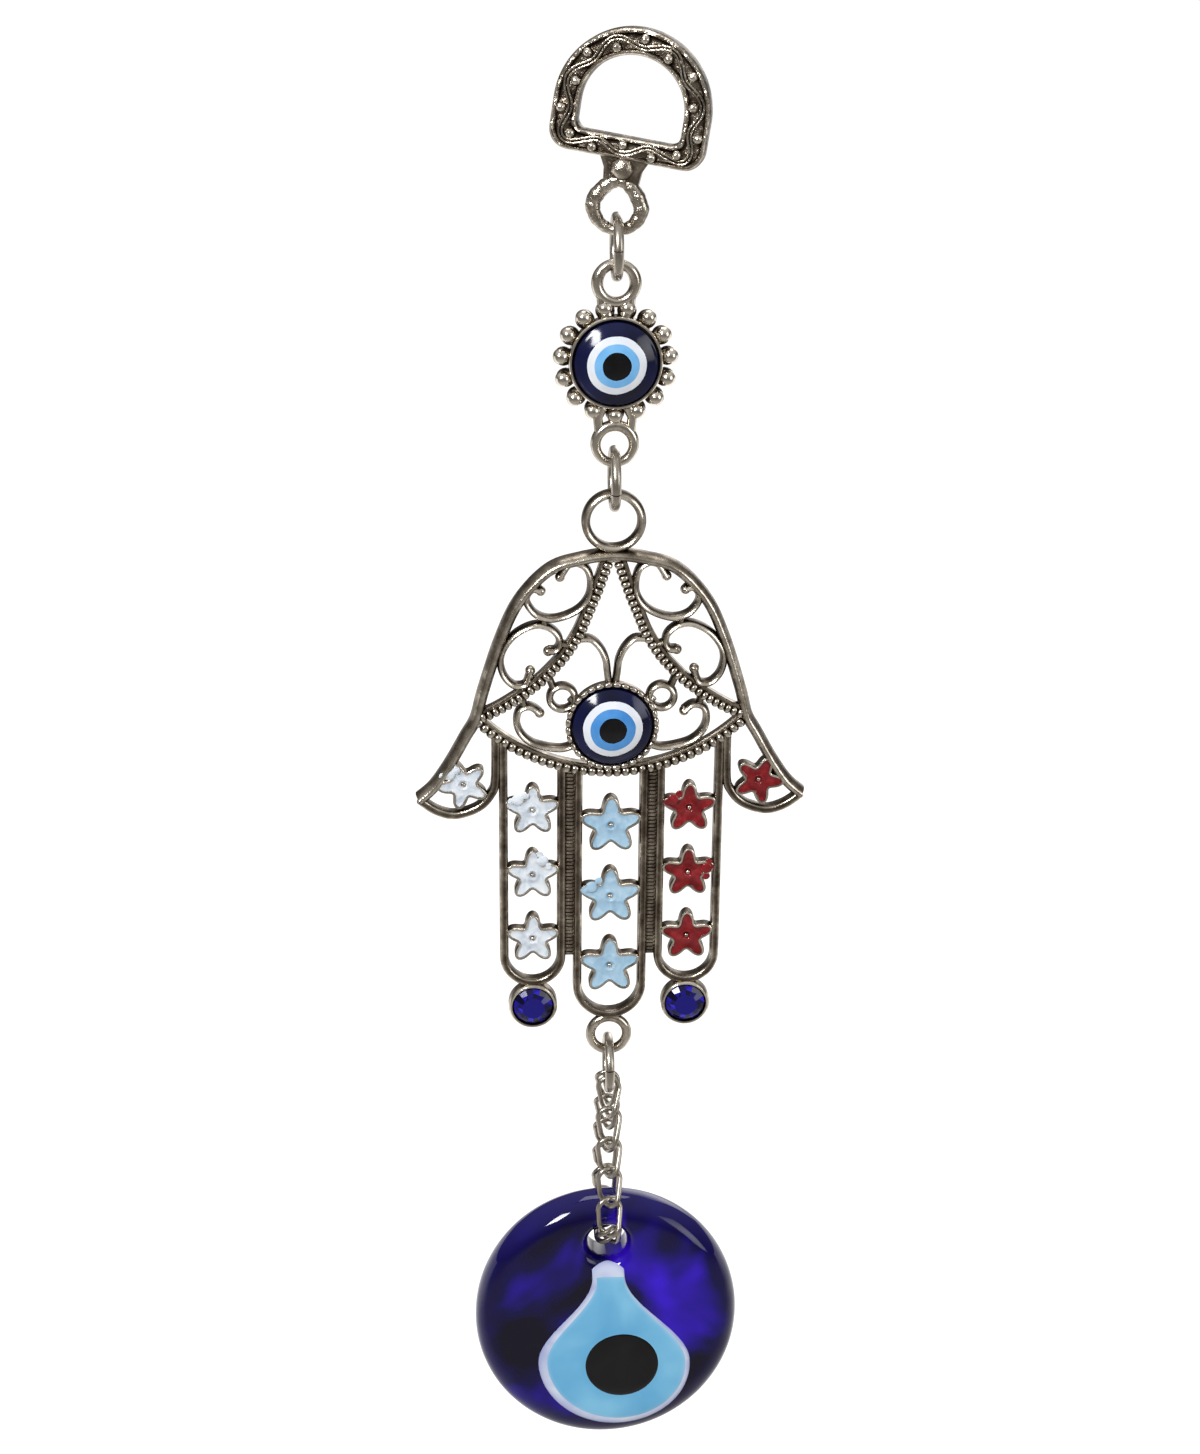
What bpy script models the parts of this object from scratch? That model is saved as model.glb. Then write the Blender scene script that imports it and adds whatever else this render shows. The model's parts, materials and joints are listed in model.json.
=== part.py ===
"""Evil eye wall hanging: a cast hanger, an eye connector, a hamsa hand and a glass eye disc,
linked by three jump rings and a loop of curb chain.

Metres, +Z up, front towards -Y. The origin is where the nail carries the hanger, and every
piece hangs plumb below it. Castings are drawn in a flat frame of their own: x to the right,
y up and z towards the viewer.
"""

from math import asin, cos, hypot, pi, radians, sin, sqrt

import bmesh
import bpy
from mathutils import Matrix, Vector

MM = 0.001

# Fits
GAP = 0.3 * MM
OVERLAP = 0.25 * MM
CHAMFER = 0.3 * MM

# Jump rings, all three alike
RING_BORE = 6.8 * MM
RING_WIRE = 1.5 * MM

# Hanger: a stirrup with an eye below it, drawn from the centre of the eye
STIRRUP_HALF_WIDTH = 11.1 * MM
STIRRUP_SHOULDER = 13.4 * MM
STIRRUP_FOOT = 6.5 * MM
STIRRUP_BAND = 3.7 * MM
STIRRUP_FOOT_BAND = 3.1 * MM
STIRRUP_CORNER = 2.8 * MM
STIRRUP_INNER_CORNER = 1.4 * MM
HANGER_DEPTH = 2.4 * MM
HANGER_TILT = radians(8.5)
HANGER_TURN = radians(-14)
HANGER_EYE_RADIUS = 3.5 * MM
HANGER_EYE_WIRE = 1.5 * MM
HANGER_EYE_SIDE = 1.9 * MM
EYE_TAPER = 0.3
NECK_WIDTH = 4.4 * MM
NECK_FOOT = 3.5 * MM
NECK_DEPTH = 2.0 * MM
BOSS = 2.6 * MM
STIRRUP_BEAD = 1.3 * MM
STIRRUP_BEADS = 14

# Eye cabochons, set in both castings
CABOCHON_RADIUS = 6.0 * MM
CABOCHON_SEAT = 1.5 * MM
CABOCHON_DOME = 1.9 * MM
LAYER_DEPTH = 0.9 * MM
PUPIL_RADIUS = 2.05 * MM
CONNECTOR_WHITE_RADIUS = 4.25 * MM
CONNECTOR_IRIS_RADIUS = 3.2 * MM
HAMSA_WHITE_RADIUS = 4.5 * MM
HAMSA_IRIS_RADIUS = 3.4 * MM
BEZEL_WALL = 0.5 * MM
BEZEL_LIP = 0.3 * MM
CUP_FLOOR = 0.8 * MM

# Connector: a bezel cup ringed with balls, and a loop at each end
CONNECTOR_DEPTH = 2.2 * MM
BALL_STANDOFF = 1.0 * MM
BALL = 2.4 * MM
BALLS = 15
STALK = 1.3 * MM
LOOP_WIRE = 1.4 * MM
TOP_LOOP_STANDOFF = 1.15 * MM
CONNECTOR_TOP_BORE = 4.1 * MM
FOOT_LOOP_STANDOFF = 1.9 * MM
CONNECTOR_FOOT_BORE = 4.2 * MM

# Hamsa: palm
HAMSA_DEPTH = 2.4 * MM
PALM_HALF_WIDTH = 20.7 * MM
PALM_HEIGHT = 26.9 * MM
FRAME_WIDTH = 1.8 * MM
BEADED_WIRE = 1.45 * MM
BEAD_PITCH = 1.05 * MM
BEAD_WAIST = 0.62
SCROLL_WIDTH = 1.1 * MM
SCROLL_DEPTH = 1.9 * MM
SCROLL_STEP = 1.6 * MM
SCROLL_STAGGER = 0.08 * MM
TAB_DEPTH = 1.2 * MM
MILGRAIN_BEADS = 32
MILGRAIN_WIRE = 0.85 * MM
SIDE_RING_RADIUS = 1.65 * MM

# Hamsa: fingers and thumbs
FINGER_WIDTH = 1.35 * MM
MIDDLE_OPENING = 8.8 * MM
SIDE_OPENING = 7.6 * MM
GROOVE = 1.2 * MM
GROOVE_DEPTH = 1.2 * MM
MIDDLE_LENGTH = 49.4 * MM
SIDE_LENGTH = 43.5 * MM
THUMB_TIP_X = 29.4 * MM
THUMB_TIP_DROP = 11.9 * MM
THUMB_SAG = 2.6 * MM

# Hamsa: loops
HAMSA_RING_BORE = 7.0 * MM
HAMSA_RING_WIDTH = 1.3 * MM
HAMSA_RING_DEPTH = 1.8 * MM
HAMSA_FOOT_BORE = 4.4 * MM

# Star cups and their enamel; a star's side tips stand 18 degrees above level
STARS = 3
STAR_WAIST = 0.62
STAR_SHARPNESS = 0.02
STAR_TIP_RISE = radians(18)
STAR_RIM = 0.4 * MM
STAR_DEPTH = 2.0 * MM
STAR_FLOOR = 0.6 * MM
STAR_FACE = 0.15 * MM
STAR_DIMPLE = 0.75 * MM
STAR_DIMPLE_DEPTH = 0.3 * MM
STAR_FIRST_SIDE = 13.9 * MM
STAR_FIRST_MIDDLE = 16.6 * MM
STAR_FROM_SIDE_TIP = 7.7 * MM
STAR_FROM_MIDDLE_TIP = 8.6 * MM
THUMB_STAR_X = 22.7 * MM
THUMB_STAR_DROP = 9.4 * MM
THUMB_STAR_REACH = 4.0 * MM
THUMB_STAR_TURN = radians(24)

# Rhinestones
STONE_RADIUS = 3.15 * MM
STONE_CUP_WALL = 0.4 * MM
STONE_CUP_DEPTH = 2.5 * MM
STONE_HEIGHT = 2.3 * MM
STONE_TABLE = 0.55
STONE_PAVILION = 0.9 * MM
STONE_GIRDLE = 0.5 * MM
STONE_SIDES = 16

# Curb chain
LINK_WIRE = 0.95 * MM
LINK_LENGTH = 7.3 * MM
LINK_WIDTH = 4.5 * MM
LINK_TWIST = radians(38)
STRAND_LINKS = 6
STRAND_LEAN = radians(46)
STRAND_SPREAD = 1.05 * MM

# Glass disc
GLASS_RADIUS = 21.8 * MM
GLASS_HALF_HEIGHT = 23.3 * MM
GLASS_THICKNESS = 8.0 * MM
GLASS_EDGE = 3.4 * MM
GLASS_BORE = 6.4 * MM
GLASS_BORE_ROUND = 2.6 * MM
GLASS_BRIDGE = 5.0 * MM
BORE_SEAT = 0.9 * MM
DROP_TOP = 9.5 * MM
DROP_FOOT = 20.2 * MM
DROP_BELLY = 7.6 * MM
DROP_HALF_WIDTH = 12.6 * MM
DROP_NECK = 2.7 * MM
DROP_SLANT = 2.0 * MM
DROP_SLANT_REST = 0.25
DROP_BORDER = 1.1 * MM
DROP_BORDER_SHIFT = 0.35 * MM
INLAY = 0.9 * MM
GLASS_PUPIL_RADIUS = 6.3 * MM
GLASS_PUPIL_X = 2.5 * MM
GLASS_PUPIL_DROP = 8.0 * MM
GLASS_PUPIL_HEIGHT = 0.7 * MM

# Facets
TURN_STEPS = 24
WIRE_SIDES = 1
FINE = 6
EDGE_STEPS = 8
STAR_STEPS = 20
CURVE_STEPS = 12
WELD = 0.001 * MM
FLAT_ANGLE = radians(0.5)
SHARP_ANGLE = radians(35)
CHAMFER_LIMIT = 0.45


# Scene and collections

for old in list(bpy.data.objects):
    bpy.data.objects.remove(old)

PARTS = bpy.data.collections.new("evil_eye_wall_hanging")
CUTTERS = bpy.data.collections.new("casting_shapes")
for group in (PARTS, CUTTERS):
    bpy.context.scene.collection.children.link(group)


def colour(code):
    """Linear RGBA of an sRGB hex colour."""
    parts = [int(code[i:i + 2], 16) / 255 for i in (0, 2, 4)]
    return [c / 12.92 if c <= 0.04045 else ((c + 0.055) / 1.055) ** 2.4 for c in parts] + [1.0]


def material(name, code, metallic, roughness):
    """A Principled material of one plain colour."""
    made = bpy.data.materials.new(name)
    made.use_nodes = True
    shader = made.node_tree.nodes["Principled BSDF"]
    shader.inputs["Base Color"].default_value = colour(code)
    shader.inputs["Metallic"].default_value = metallic
    shader.inputs["Roughness"].default_value = roughness
    return made


NICKEL = material("antique_nickel", "8C8478", 1.0, 0.32)
STEEL_WIRE = material("plated_wire", "A39B90", 1.0, 0.25)
NAVY = material("navy_resin", "151B3C", 0.0, 0.08)
WHITE = material("white_resin", "E6EBF2", 0.0, 0.12)
SKY = material("sky_resin", "5AA2DC", 0.0, 0.12)
BLACK = material("black_resin", "101012", 0.0, 0.1)
WHITE_ENAMEL = material("white_enamel", "DDE6F0", 0.0, 0.1)
BLUE_ENAMEL = material("blue_enamel", "A9D2EE", 0.0, 0.1)
RED_ENAMEL = material("red_enamel", "8E1F26", 0.0, 0.1)
SAPPHIRE = material("sapphire_stone", "120A86", 0.0, 0.03)
COBALT = material("cobalt_glass", "1A1466", 0.0, 0.04)
MILK = material("milk_glass", "C9D2EA", 0.0, 0.06)
TURQUOISE = material("turquoise_glass", "6DB4DF", 0.0, 0.06)
JET = material("jet_glass", "111012", 0.0, 0.04)


# Helpers for wires, plates and turned shapes

def add_object(name, data, group=CUTTERS):
    """Link a new object; one among the cutters is hidden from renders."""
    made = bpy.data.objects.new(name, data)
    group.objects.link(made)
    if group is CUTTERS:
        made.hide_render = True
        made.display_type = "WIRE"
    return made


def frozen(shape, plain=False):
    """Turn a curve or a modified mesh into a welded mesh object, its flat faces joined if plain."""
    graph = bpy.context.evaluated_depsgraph_get()
    graph.update()
    mesh = bpy.data.meshes.new_from_object(shape.evaluated_get(graph))
    mesh.transform(shape.matrix_world)
    name = shape.name
    bpy.data.objects.remove(shape)
    body = bmesh.new()
    body.from_mesh(mesh)
    bmesh.ops.remove_doubles(body, verts=body.verts, dist=WELD)
    if plain:
        bmesh.ops.dissolve_limit(body, angle_limit=FLAT_ANGLE, verts=body.verts, edges=body.edges)
    bmesh.ops.recalc_face_normals(body, faces=body.faces)
    body.to_mesh(mesh)
    body.free()
    return add_object(name, mesh)


def curve_of(name, points, closed, smooth, radii=None):
    """A curve through flat or spatial points, smooth or straight between them."""
    data = bpy.data.curves.new(name, "CURVE")
    data.dimensions = "3D"
    data.twist_mode = "Z_UP"
    data.use_fill_caps = True
    data.bevel_resolution = WIRE_SIDES
    spline = data.splines.new("BEZIER" if smooth else "POLY")
    store = spline.bezier_points if smooth else spline.points
    store.add(len(points) - 1)
    for i, (slot, point) in enumerate(zip(store, points)):
        place = Vector(tuple(point) + (0.0,) * (3 - len(point)))
        if smooth:
            slot.co = place
            slot.handle_left_type = "AUTO"
            slot.handle_right_type = "AUTO"
        else:
            slot.co = (*place, 1.0)
        slot.radius = radii[i] if radii else 1.0
    spline.use_cyclic_u = closed
    data.resolution_u = 2
    return data


def wire(name, points, diameter, closed=False, smooth=True, radii=None):
    """Round wire along a route."""
    data = curve_of(name, points, closed, smooth, radii)
    data.bevel_depth = diameter / 2
    return frozen(add_object(name, data))


def section(width, depth):
    """Closed section of a flat band, flat behind and with its two front edges taken off."""
    data = bpy.data.curves.new("band_section", "CURVE")
    spline = data.splines.new("POLY")
    x, y = width / 2, depth / 2
    cut = min(CHAMFER, CHAMFER_LIMIT * width, CHAMFER_LIMIT * depth)
    corners = [(-x, -y), (-x, y - cut), (-x + cut, y), (x - cut, y), (x, y - cut), (x, -y)]
    spline.points.add(len(corners) - 1)
    for slot, (u, v) in zip(spline.points, corners):
        slot.co = (u, v, 0.0, 1.0)
    spline.use_cyclic_u = True
    return add_object("band_section", data)


def band(name, points, width, depth, closed=False, smooth=False):
    """Flat band on edge along a flat route, its face towards the viewer."""
    data = curve_of(name, points, closed, smooth)
    profile = section(width, depth)
    data.bevel_mode = "OBJECT"
    data.bevel_object = profile
    made = frozen(add_object(name, data))
    bpy.data.objects.remove(profile)
    return made


def plate(name, outlines, low, high):
    """Flat plate from z low to z high; outlines after the first are openings."""
    data = bpy.data.curves.new(name, "CURVE")
    data.dimensions = "2D"
    data.fill_mode = "BOTH"
    data.extrude = (high - low) / 2
    for outline in outlines:
        spline = data.splines.new("POLY")
        spline.points.add(len(outline) - 1)
        for slot, (x, y) in zip(spline.points, outline):
            slot.co = (x, y, 0.0, 1.0)
        spline.use_cyclic_u = True
    made = add_object(name, data)
    made.location.z = (low + high) / 2
    bpy.context.view_layer.update()
    return frozen(made)


def turned(name, profile, steps=TURN_STEPS):
    """Profile (radius, height), listed down its outer side, turned about z."""
    mesh = bpy.data.meshes.new(name)
    edges = [(i, i + 1) for i in range(len(profile) - 1)]
    mesh.from_pydata([(r, 0.0, z) for r, z in profile], edges, [])
    made = add_object(name, mesh)
    screw = made.modifiers.new("turn", "SCREW")
    screw.axis = "Z"
    screw.angle = 2 * pi
    screw.steps = steps
    screw.render_steps = steps
    screw.use_merge_vertices = True
    screw.merge_threshold = WELD
    return frozen(made)


def ball(name, place, diameter, finer=False):
    """A small round bead."""
    mesh = bpy.data.meshes.new(name)
    body = bmesh.new()
    bmesh.ops.create_icosphere(body, subdivisions=2 if finer else 1, radius=diameter / 2)
    bmesh.ops.translate(body, verts=body.verts, vec=Vector(place))
    body.to_mesh(mesh)
    body.free()
    return add_object(name, mesh)


def combine(target, others, operation):
    """Join or cut with every shape in one exact Boolean, then drop the shapes."""
    operands = bpy.data.collections.new("operands")
    bpy.context.scene.collection.children.link(operands)
    for other in others:
        operands.objects.link(other)
    step = target.modifiers.new(operation.lower(), "BOOLEAN")
    step.operation = operation
    step.operand_type = "COLLECTION"
    step.collection = operands
    step.solver = "EXACT"
    made = frozen(target, True)
    for other in others:
        bpy.data.objects.remove(other)
    bpy.data.collections.remove(operands)
    return made


def finish(shape, name, finish_material, parent, place, turn=(pi / 2, 0.0, 0.0)):
    """Name a finished piece, give it its material and hang it on its pivot."""
    CUTTERS.objects.unlink(shape)
    PARTS.objects.link(shape)
    shape.hide_render = False
    shape.display_type = "TEXTURED"
    shape.name = name
    shape.data.name = name
    shape.data.materials.clear()
    shape.data.materials.append(finish_material)
    shape.data.shade_smooth()
    shape.data.set_sharp_from_angle(angle=SHARP_ANGLE)
    shape.parent = parent
    shape.rotation_euler = turn
    shape.location = Vector(place) - parent.matrix_world.translation
    return shape


def pivot(name, place, parent=None):
    """An empty on a joint's axis, which carries the pieces that turn about it."""
    made = bpy.data.objects.new(name, None)
    PARTS.objects.link(made)
    made.empty_display_size = 3 * MM
    made.parent = parent
    made.location = Vector(place) - (parent.matrix_world.translation if parent else Vector())
    bpy.context.view_layer.update()
    return made


def arc(centre, radius, start, end, steps):
    """Points of an arc, angles in degrees from x towards y."""
    angles = [radians(start + (end - start) * i / steps) for i in range(steps + 1)]
    return [(centre[0] + radius * cos(a), centre[1] + radius * sin(a)) for a in angles]


def circle(centre, radius, steps):
    """Points round a full circle, the first not repeated."""
    return arc(centre, radius, 0, 360, steps)[:-1]


def mirrored(points):
    """The same route on the other side of the y axis."""
    return [(-x, y) for x, y in points]


def inset(points, by):
    """Outline drawn in by an even distance all round."""
    area = sum(p[0] * q[1] - q[0] * p[1] for p, q in zip(points, points[1:] + points[:1]))
    by = by if area > 0 else -by
    drawn = []
    for a, b, c in zip(points[-1:] + points[:-1], points, points[1:] + points[:1]):
        first, last = hypot(b[0] - a[0], b[1] - a[1]), hypot(c[0] - b[0], c[1] - b[1])
        n = ((a[1] - b[1]) / first, (b[0] - a[0]) / first)
        m = ((b[1] - c[1]) / last, (c[0] - b[0]) / last)
        share = by / (1 + n[0] * m[0] + n[1] * m[1])
        drawn.append((b[0] + share * (n[0] + m[0]), b[1] + share * (n[1] + m[1])))
    return drawn


def between(a, b, c, d, t):
    """Value at share t from b to c on the smooth cubic through a, b, c and d."""
    bend = 2 * a - 5 * b + 4 * c - d
    return b + t * (c - a + t * (bend + t * (3 * b - a - 3 * c + d))) / 2


def even_points(points, pitch):
    """Points at an even pitch along a smooth curve through the given ones."""
    dense = []
    ends = [points[0]] + list(points) + [points[-1]]
    for near in zip(ends, ends[1:], ends[2:], ends[3:]):
        for i in range(CURVE_STEPS):
            xs, ys = zip(*near)
            dense.append((between(*xs, i / CURVE_STEPS), between(*ys, i / CURVE_STEPS)))
    dense.append(tuple(points[-1]))
    length = sum(hypot(q[0] - p[0], q[1] - p[1]) for p, q in zip(dense, dense[1:]))
    count = max(2, round(length / pitch))
    spaced = [dense[0]]
    walked = 0.0
    for p, q in zip(dense, dense[1:]):
        run = hypot(q[0] - p[0], q[1] - p[1])
        while len(spaced) < count and walked + run >= length * len(spaced) / count:
            part = (length * len(spaced) / count - walked) / run
            spaced.append((p[0] + part * (q[0] - p[0]), p[1] + part * (q[1] - p[1])))
        walked += run
    return spaced + [dense[-1]]


def swells(count):
    """Radius shares of a beaded wire, narrow and full by turns."""
    return [1.0 if i % 2 else BEAD_WAIST for i in range(count)]


def beaded(name, points):
    """Beaded wire on a flat route, a little proud of the filigree."""
    route = [(x, y, OVERLAP) for x, y in even_points(points, BEAD_PITCH / 2)]
    return wire(name, route, BEADED_WIRE, False, False, swells(len(route)))


# Line of hang: each height follows from the piece above it

STIRRUP_BORE = STIRRUP_HALF_WIDTH - STIRRUP_BAND
SIDE_REACH = STIRRUP_SHOULDER * sin(HANGER_TILT)
HANGER_DROP = STIRRUP_SHOULDER * cos(HANGER_TILT) + sqrt(STIRRUP_BORE ** 2 - SIDE_REACH ** 2)
FRAME_HALF = FRAME_WIDTH / 2
BEZEL_RADIUS = CABOCHON_RADIUS + GAP + BEZEL_WALL
BALL_CIRCLE = BEZEL_RADIUS + BALL_STANDOFF
CONNECTOR_TOP_RISE = BEZEL_RADIUS + TOP_LOOP_STANDOFF + LOOP_WIRE + CONNECTOR_TOP_BORE / 2
CONNECTOR_FOOT_DROP = BEZEL_RADIUS + FOOT_LOOP_STANDOFF + LOOP_WIRE + CONNECTOR_FOOT_BORE / 2
PALM_FOOT = BEZEL_RADIUS + OVERLAP + BEADED_WIRE / 2
HAMSA_RING_RISE = PALM_HEIGHT + FRAME_HALF - 2 * OVERLAP + HAMSA_RING_WIDTH + HAMSA_RING_BORE / 2
FINGER_FOOT = MIDDLE_LENGTH + FINGER_WIDTH / 2
HAMSA_FOOT_DROP = FINGER_FOOT - 2 * OVERLAP + LOOP_WIRE + HAMSA_FOOT_BORE / 2


def ring_centre(bar, bar_wire):
    """Height of a jump ring's centre when it hangs over a bar."""
    return bar + bar_wire / 2 + GAP - RING_BORE / 2


def ring_foot(bar, bar_wire):
    """Height of the wire at the foot of a jump ring that hangs over a bar."""
    return ring_centre(bar, bar_wire) - (RING_BORE + RING_WIRE) / 2


def ring_rise(reach):
    """How far a jump ring's wire has risen from its foot at a distance to the side."""
    radius = (RING_BORE + RING_WIRE) / 2
    return radius - sqrt(radius ** 2 - reach ** 2)


def hung_bore(foot, bore, depth=0.0):
    """Height of the centre of a bore hung over a jump ring's foot, the bore so deep front to back."""
    return foot + RING_WIRE / 2 + GAP + ring_rise(depth / 2) - bore / 2


hanger_eye = -HANGER_DROP
upper_bar = hanger_eye - HANGER_EYE_RADIUS
upper_foot = ring_foot(upper_bar, HANGER_EYE_WIRE)
connector_centre = hung_bore(upper_foot, CONNECTOR_TOP_BORE) - CONNECTOR_TOP_RISE
middle_bar = connector_centre - CONNECTOR_FOOT_DROP - (CONNECTOR_FOOT_BORE + LOOP_WIRE) / 2
middle_foot = ring_foot(middle_bar, LOOP_WIRE)
hamsa_centre = hung_bore(middle_foot, HAMSA_RING_BORE, HAMSA_RING_DEPTH) - HAMSA_RING_RISE
lower_bar = hamsa_centre - HAMSA_FOOT_DROP - (HAMSA_FOOT_BORE + LOOP_WIRE) / 2
lower_foot = ring_foot(lower_bar, LOOP_WIRE)

nail_point = pivot("nail_point", (0.0, 0.0, 0.0))
upper_ring_pivot = pivot("upper_ring_pivot", (0.0, 0.0, upper_bar), nail_point)
connector_pivot = pivot("connector_pivot", (0.0, 0.0, upper_foot), upper_ring_pivot)
middle_ring_pivot = pivot("middle_ring_pivot", (0.0, 0.0, middle_bar), connector_pivot)
hamsa_pivot = pivot("hamsa_pivot", (0.0, 0.0, middle_foot), middle_ring_pivot)
lower_ring_pivot = pivot("lower_ring_pivot", (0.0, 0.0, lower_bar), hamsa_pivot)
chain_pivot = pivot("chain_pivot", (0.0, 0.0, lower_foot), lower_ring_pivot)


# Hanger

def stirrup(half_width, foot, corner):
    """Outline of a stirrup: half circle, straight sides and rounded lower corners."""
    left, right = -half_width + corner, half_width - corner
    top = arc((0.0, STIRRUP_SHOULDER), half_width, 0, 180, 4 * FINE)
    return (top + arc((left, foot + corner), corner, 180, 270, FINE)
            + arc((right, foot + corner), corner, 270, 360, FINE))


def build_hanger():
    """Stirrup with a neck, a boss, raised beads and a round eye for the first ring."""
    face = HANGER_DEPTH / 2
    opening = stirrup(STIRRUP_BORE, STIRRUP_FOOT + STIRRUP_FOOT_BAND, STIRRUP_INNER_CORNER)
    outline = stirrup(STIRRUP_HALF_WIDTH, STIRRUP_FOOT, STIRRUP_CORNER)
    shape = plate("stirrup", [outline, opening], -face, face)
    side = HANGER_EYE_SIDE / HANGER_EYE_WIRE
    steps = 4 * FINE
    route, swell = [], []
    for i in range(steps):
        angle = 2 * pi * i / steps
        width = 1 - EYE_TAPER * max(0.0, cos(angle))
        route.append((HANGER_EYE_RADIUS * sin(angle) * width, HANGER_EYE_RADIUS * cos(angle)))
        swell.append(1 + (side - 1) * (1 + cos(angle)) / 2)
    others = [wire("hanger_eye", route, HANGER_EYE_WIRE, True, False, swell)]
    root = HANGER_EYE_RADIUS - OVERLAP
    top = STIRRUP_FOOT + STIRRUP_FOOT_BAND / 2
    right_edge = [(NECK_FOOT / 2, root), (NECK_WIDTH / 2, top)]
    neck = [(-x, y) for x, y in right_edge[:1]] + right_edge + [(-x, y) for x, y in right_edge[1:]]
    others.append(plate("neck", [neck], -NECK_DEPTH / 2, NECK_DEPTH / 2))
    others.append(ball("boss", (0.0, (root + STIRRUP_FOOT) / 2, NECK_DEPTH / 2), BOSS, True))
    line = stirrup(STIRRUP_HALF_WIDTH - STIRRUP_BAND / 2, top, STIRRUP_CORNER)
    run = sum(hypot(b[0] - a[0], b[1] - a[1]) for a, b in zip(line, line[1:] + line[:1]))
    for i, (x, y) in enumerate(even_points(line + line[:1], run / STIRRUP_BEADS)[:-1]):
        others.append(ball(f"stirrup_bead_{i}", (x, y, face), STIRRUP_BEAD))
    shape = combine(shape, others, "UNION")
    tilted = (pi / 2, HANGER_TILT, HANGER_TURN)
    finish(shape, "hanger", NICKEL, nail_point, (0.0, 0.0, hanger_eye), tilted)


def build_jump_ring(name, parent, bar, bar_wire):
    """Closed ring of round wire that stands edge-on to the viewer."""
    radius = (RING_BORE + RING_WIRE) / 2
    ring = wire(name, circle((0.0, 0.0), radius, 4 * FINE), RING_WIRE, True, False)
    place = (0.0, 0.0, ring_centre(bar, bar_wire))
    finish(ring, name, STEEL_WIRE, parent, place, (0.0, pi / 2, 0.0))


# Eye cabochons

def dome(radius, rim_height):
    """Height of the domed face at a radius."""
    return rim_height + CABOCHON_DOME * (1 - (radius / CABOCHON_RADIUS) ** 2)


def build_cabochon(prefix, white_radius, iris_radius, parent, place):
    """Navy dome with three flush layers let into it: white, iris and pupil."""
    layers = [("navy", CABOCHON_RADIUS, NAVY), ("white", white_radius, WHITE),
              ("iris", iris_radius, SKY), ("pupil", PUPIL_RADIUS, BLACK)]
    base = GAP
    rim = base + CABOCHON_SEAT
    for i, (name, radius, resin) in enumerate(layers):
        inner_layers = len(layers) - 1 - i
        pocket = dome(0.0, rim) - LAYER_DEPTH * inner_layers
        profile = [(0.0, pocket)]
        start = 0.0
        if inner_layers:
            start = layers[i + 1][1] + GAP
            profile += [(start, pocket), (start, dome(start, rim))]
        halfway = (start + radius) / 2
        profile += [(halfway, dome(halfway, rim)), (radius, dome(radius, rim))]
        profile += [(radius, base), (0.0, base)]
        finish(turned(name, profile), f"{prefix}_{name}", resin, parent, place)
        base = pocket + GAP


def bezel_cup(name, back):
    """Cup that holds a cabochon, from its back face to the lip."""
    floor = back + CUP_FLOOR
    lip = floor + GAP + CABOCHON_SEAT - BEZEL_LIP
    inner = CABOCHON_RADIUS + GAP
    profile = [(0.0, floor), (inner, floor), (inner, lip), (BEZEL_RADIUS, lip)]
    profile += [(BEZEL_RADIUS, back), (0.0, back)]
    return turned(name, profile), floor, lip


def loop(name, centre, bore):
    """Round hanging loop of a casting."""
    return wire(name, circle(centre, (bore + LOOP_WIRE) / 2, 3 * FINE), LOOP_WIRE, True, False)


# Connector

def build_connector():
    """Bezel cup with ball-tipped rays and two loops, and its cabochon."""
    back = -CONNECTOR_DEPTH / 2
    shape, floor, _ = bezel_cup("connector_cup", back)
    others = []
    root = (BEZEL_RADIUS - OVERLAP) / BALL_CIRCLE
    for i in range(BALLS):
        angle = -pi / 2 + 2 * pi * i / BALLS
        x, y = BALL_CIRCLE * cos(angle), BALL_CIRCLE * sin(angle)
        others.append(ball(f"ball_{i}", (x, y, 0.0), BALL, True))
        others.append(wire(f"stalk_{i}", [(root * x, root * y), (x, y)], STALK, False, False))
    others.append(loop("top_loop", (0.0, CONNECTOR_TOP_RISE), CONNECTOR_TOP_BORE))
    others.append(loop("foot_loop", (0.0, -CONNECTOR_FOOT_DROP), CONNECTOR_FOOT_BORE))
    shape = combine(shape, others, "UNION")
    finish(shape, "eye_connector", NICKEL, connector_pivot, (0.0, 0.0, connector_centre))
    build_cabochon("connector_eye", CONNECTOR_WHITE_RADIUS, CONNECTOR_IRIS_RADIUS, connector_pivot,
                   (0.0, -floor, connector_centre))


# Hamsa

def palm(u, v):
    """Point of the palm in shares of its half width and its height."""
    return (u * PALM_HALF_WIDTH, v * PALM_HEIGHT)


CORNER = palm(1.0, 0.04)
MIDDLE_LEG = (MIDDLE_OPENING + FINGER_WIDTH) / 2
INNER_LEG = MIDDLE_LEG + FINGER_WIDTH + GROOVE
OUTER_LEG = INNER_LEG + FINGER_WIDTH + SIDE_OPENING
SIDE_COLUMN = (INNER_LEG + OUTER_LEG) / 2
THUMB_ROOT = OUTER_LEG + FINGER_WIDTH - OVERLAP
ARC_RISE = PALM_FOOT + CORNER[1]
ARC_RADIUS = (CORNER[0] ** 2 + ARC_RISE ** 2) / (2 * ARC_RISE)


def palm_arc(x):
    """Height of the beaded arc under the palm at x."""
    return -PALM_FOOT + ARC_RADIUS - sqrt(ARC_RADIUS ** 2 - x ** 2)


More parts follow.
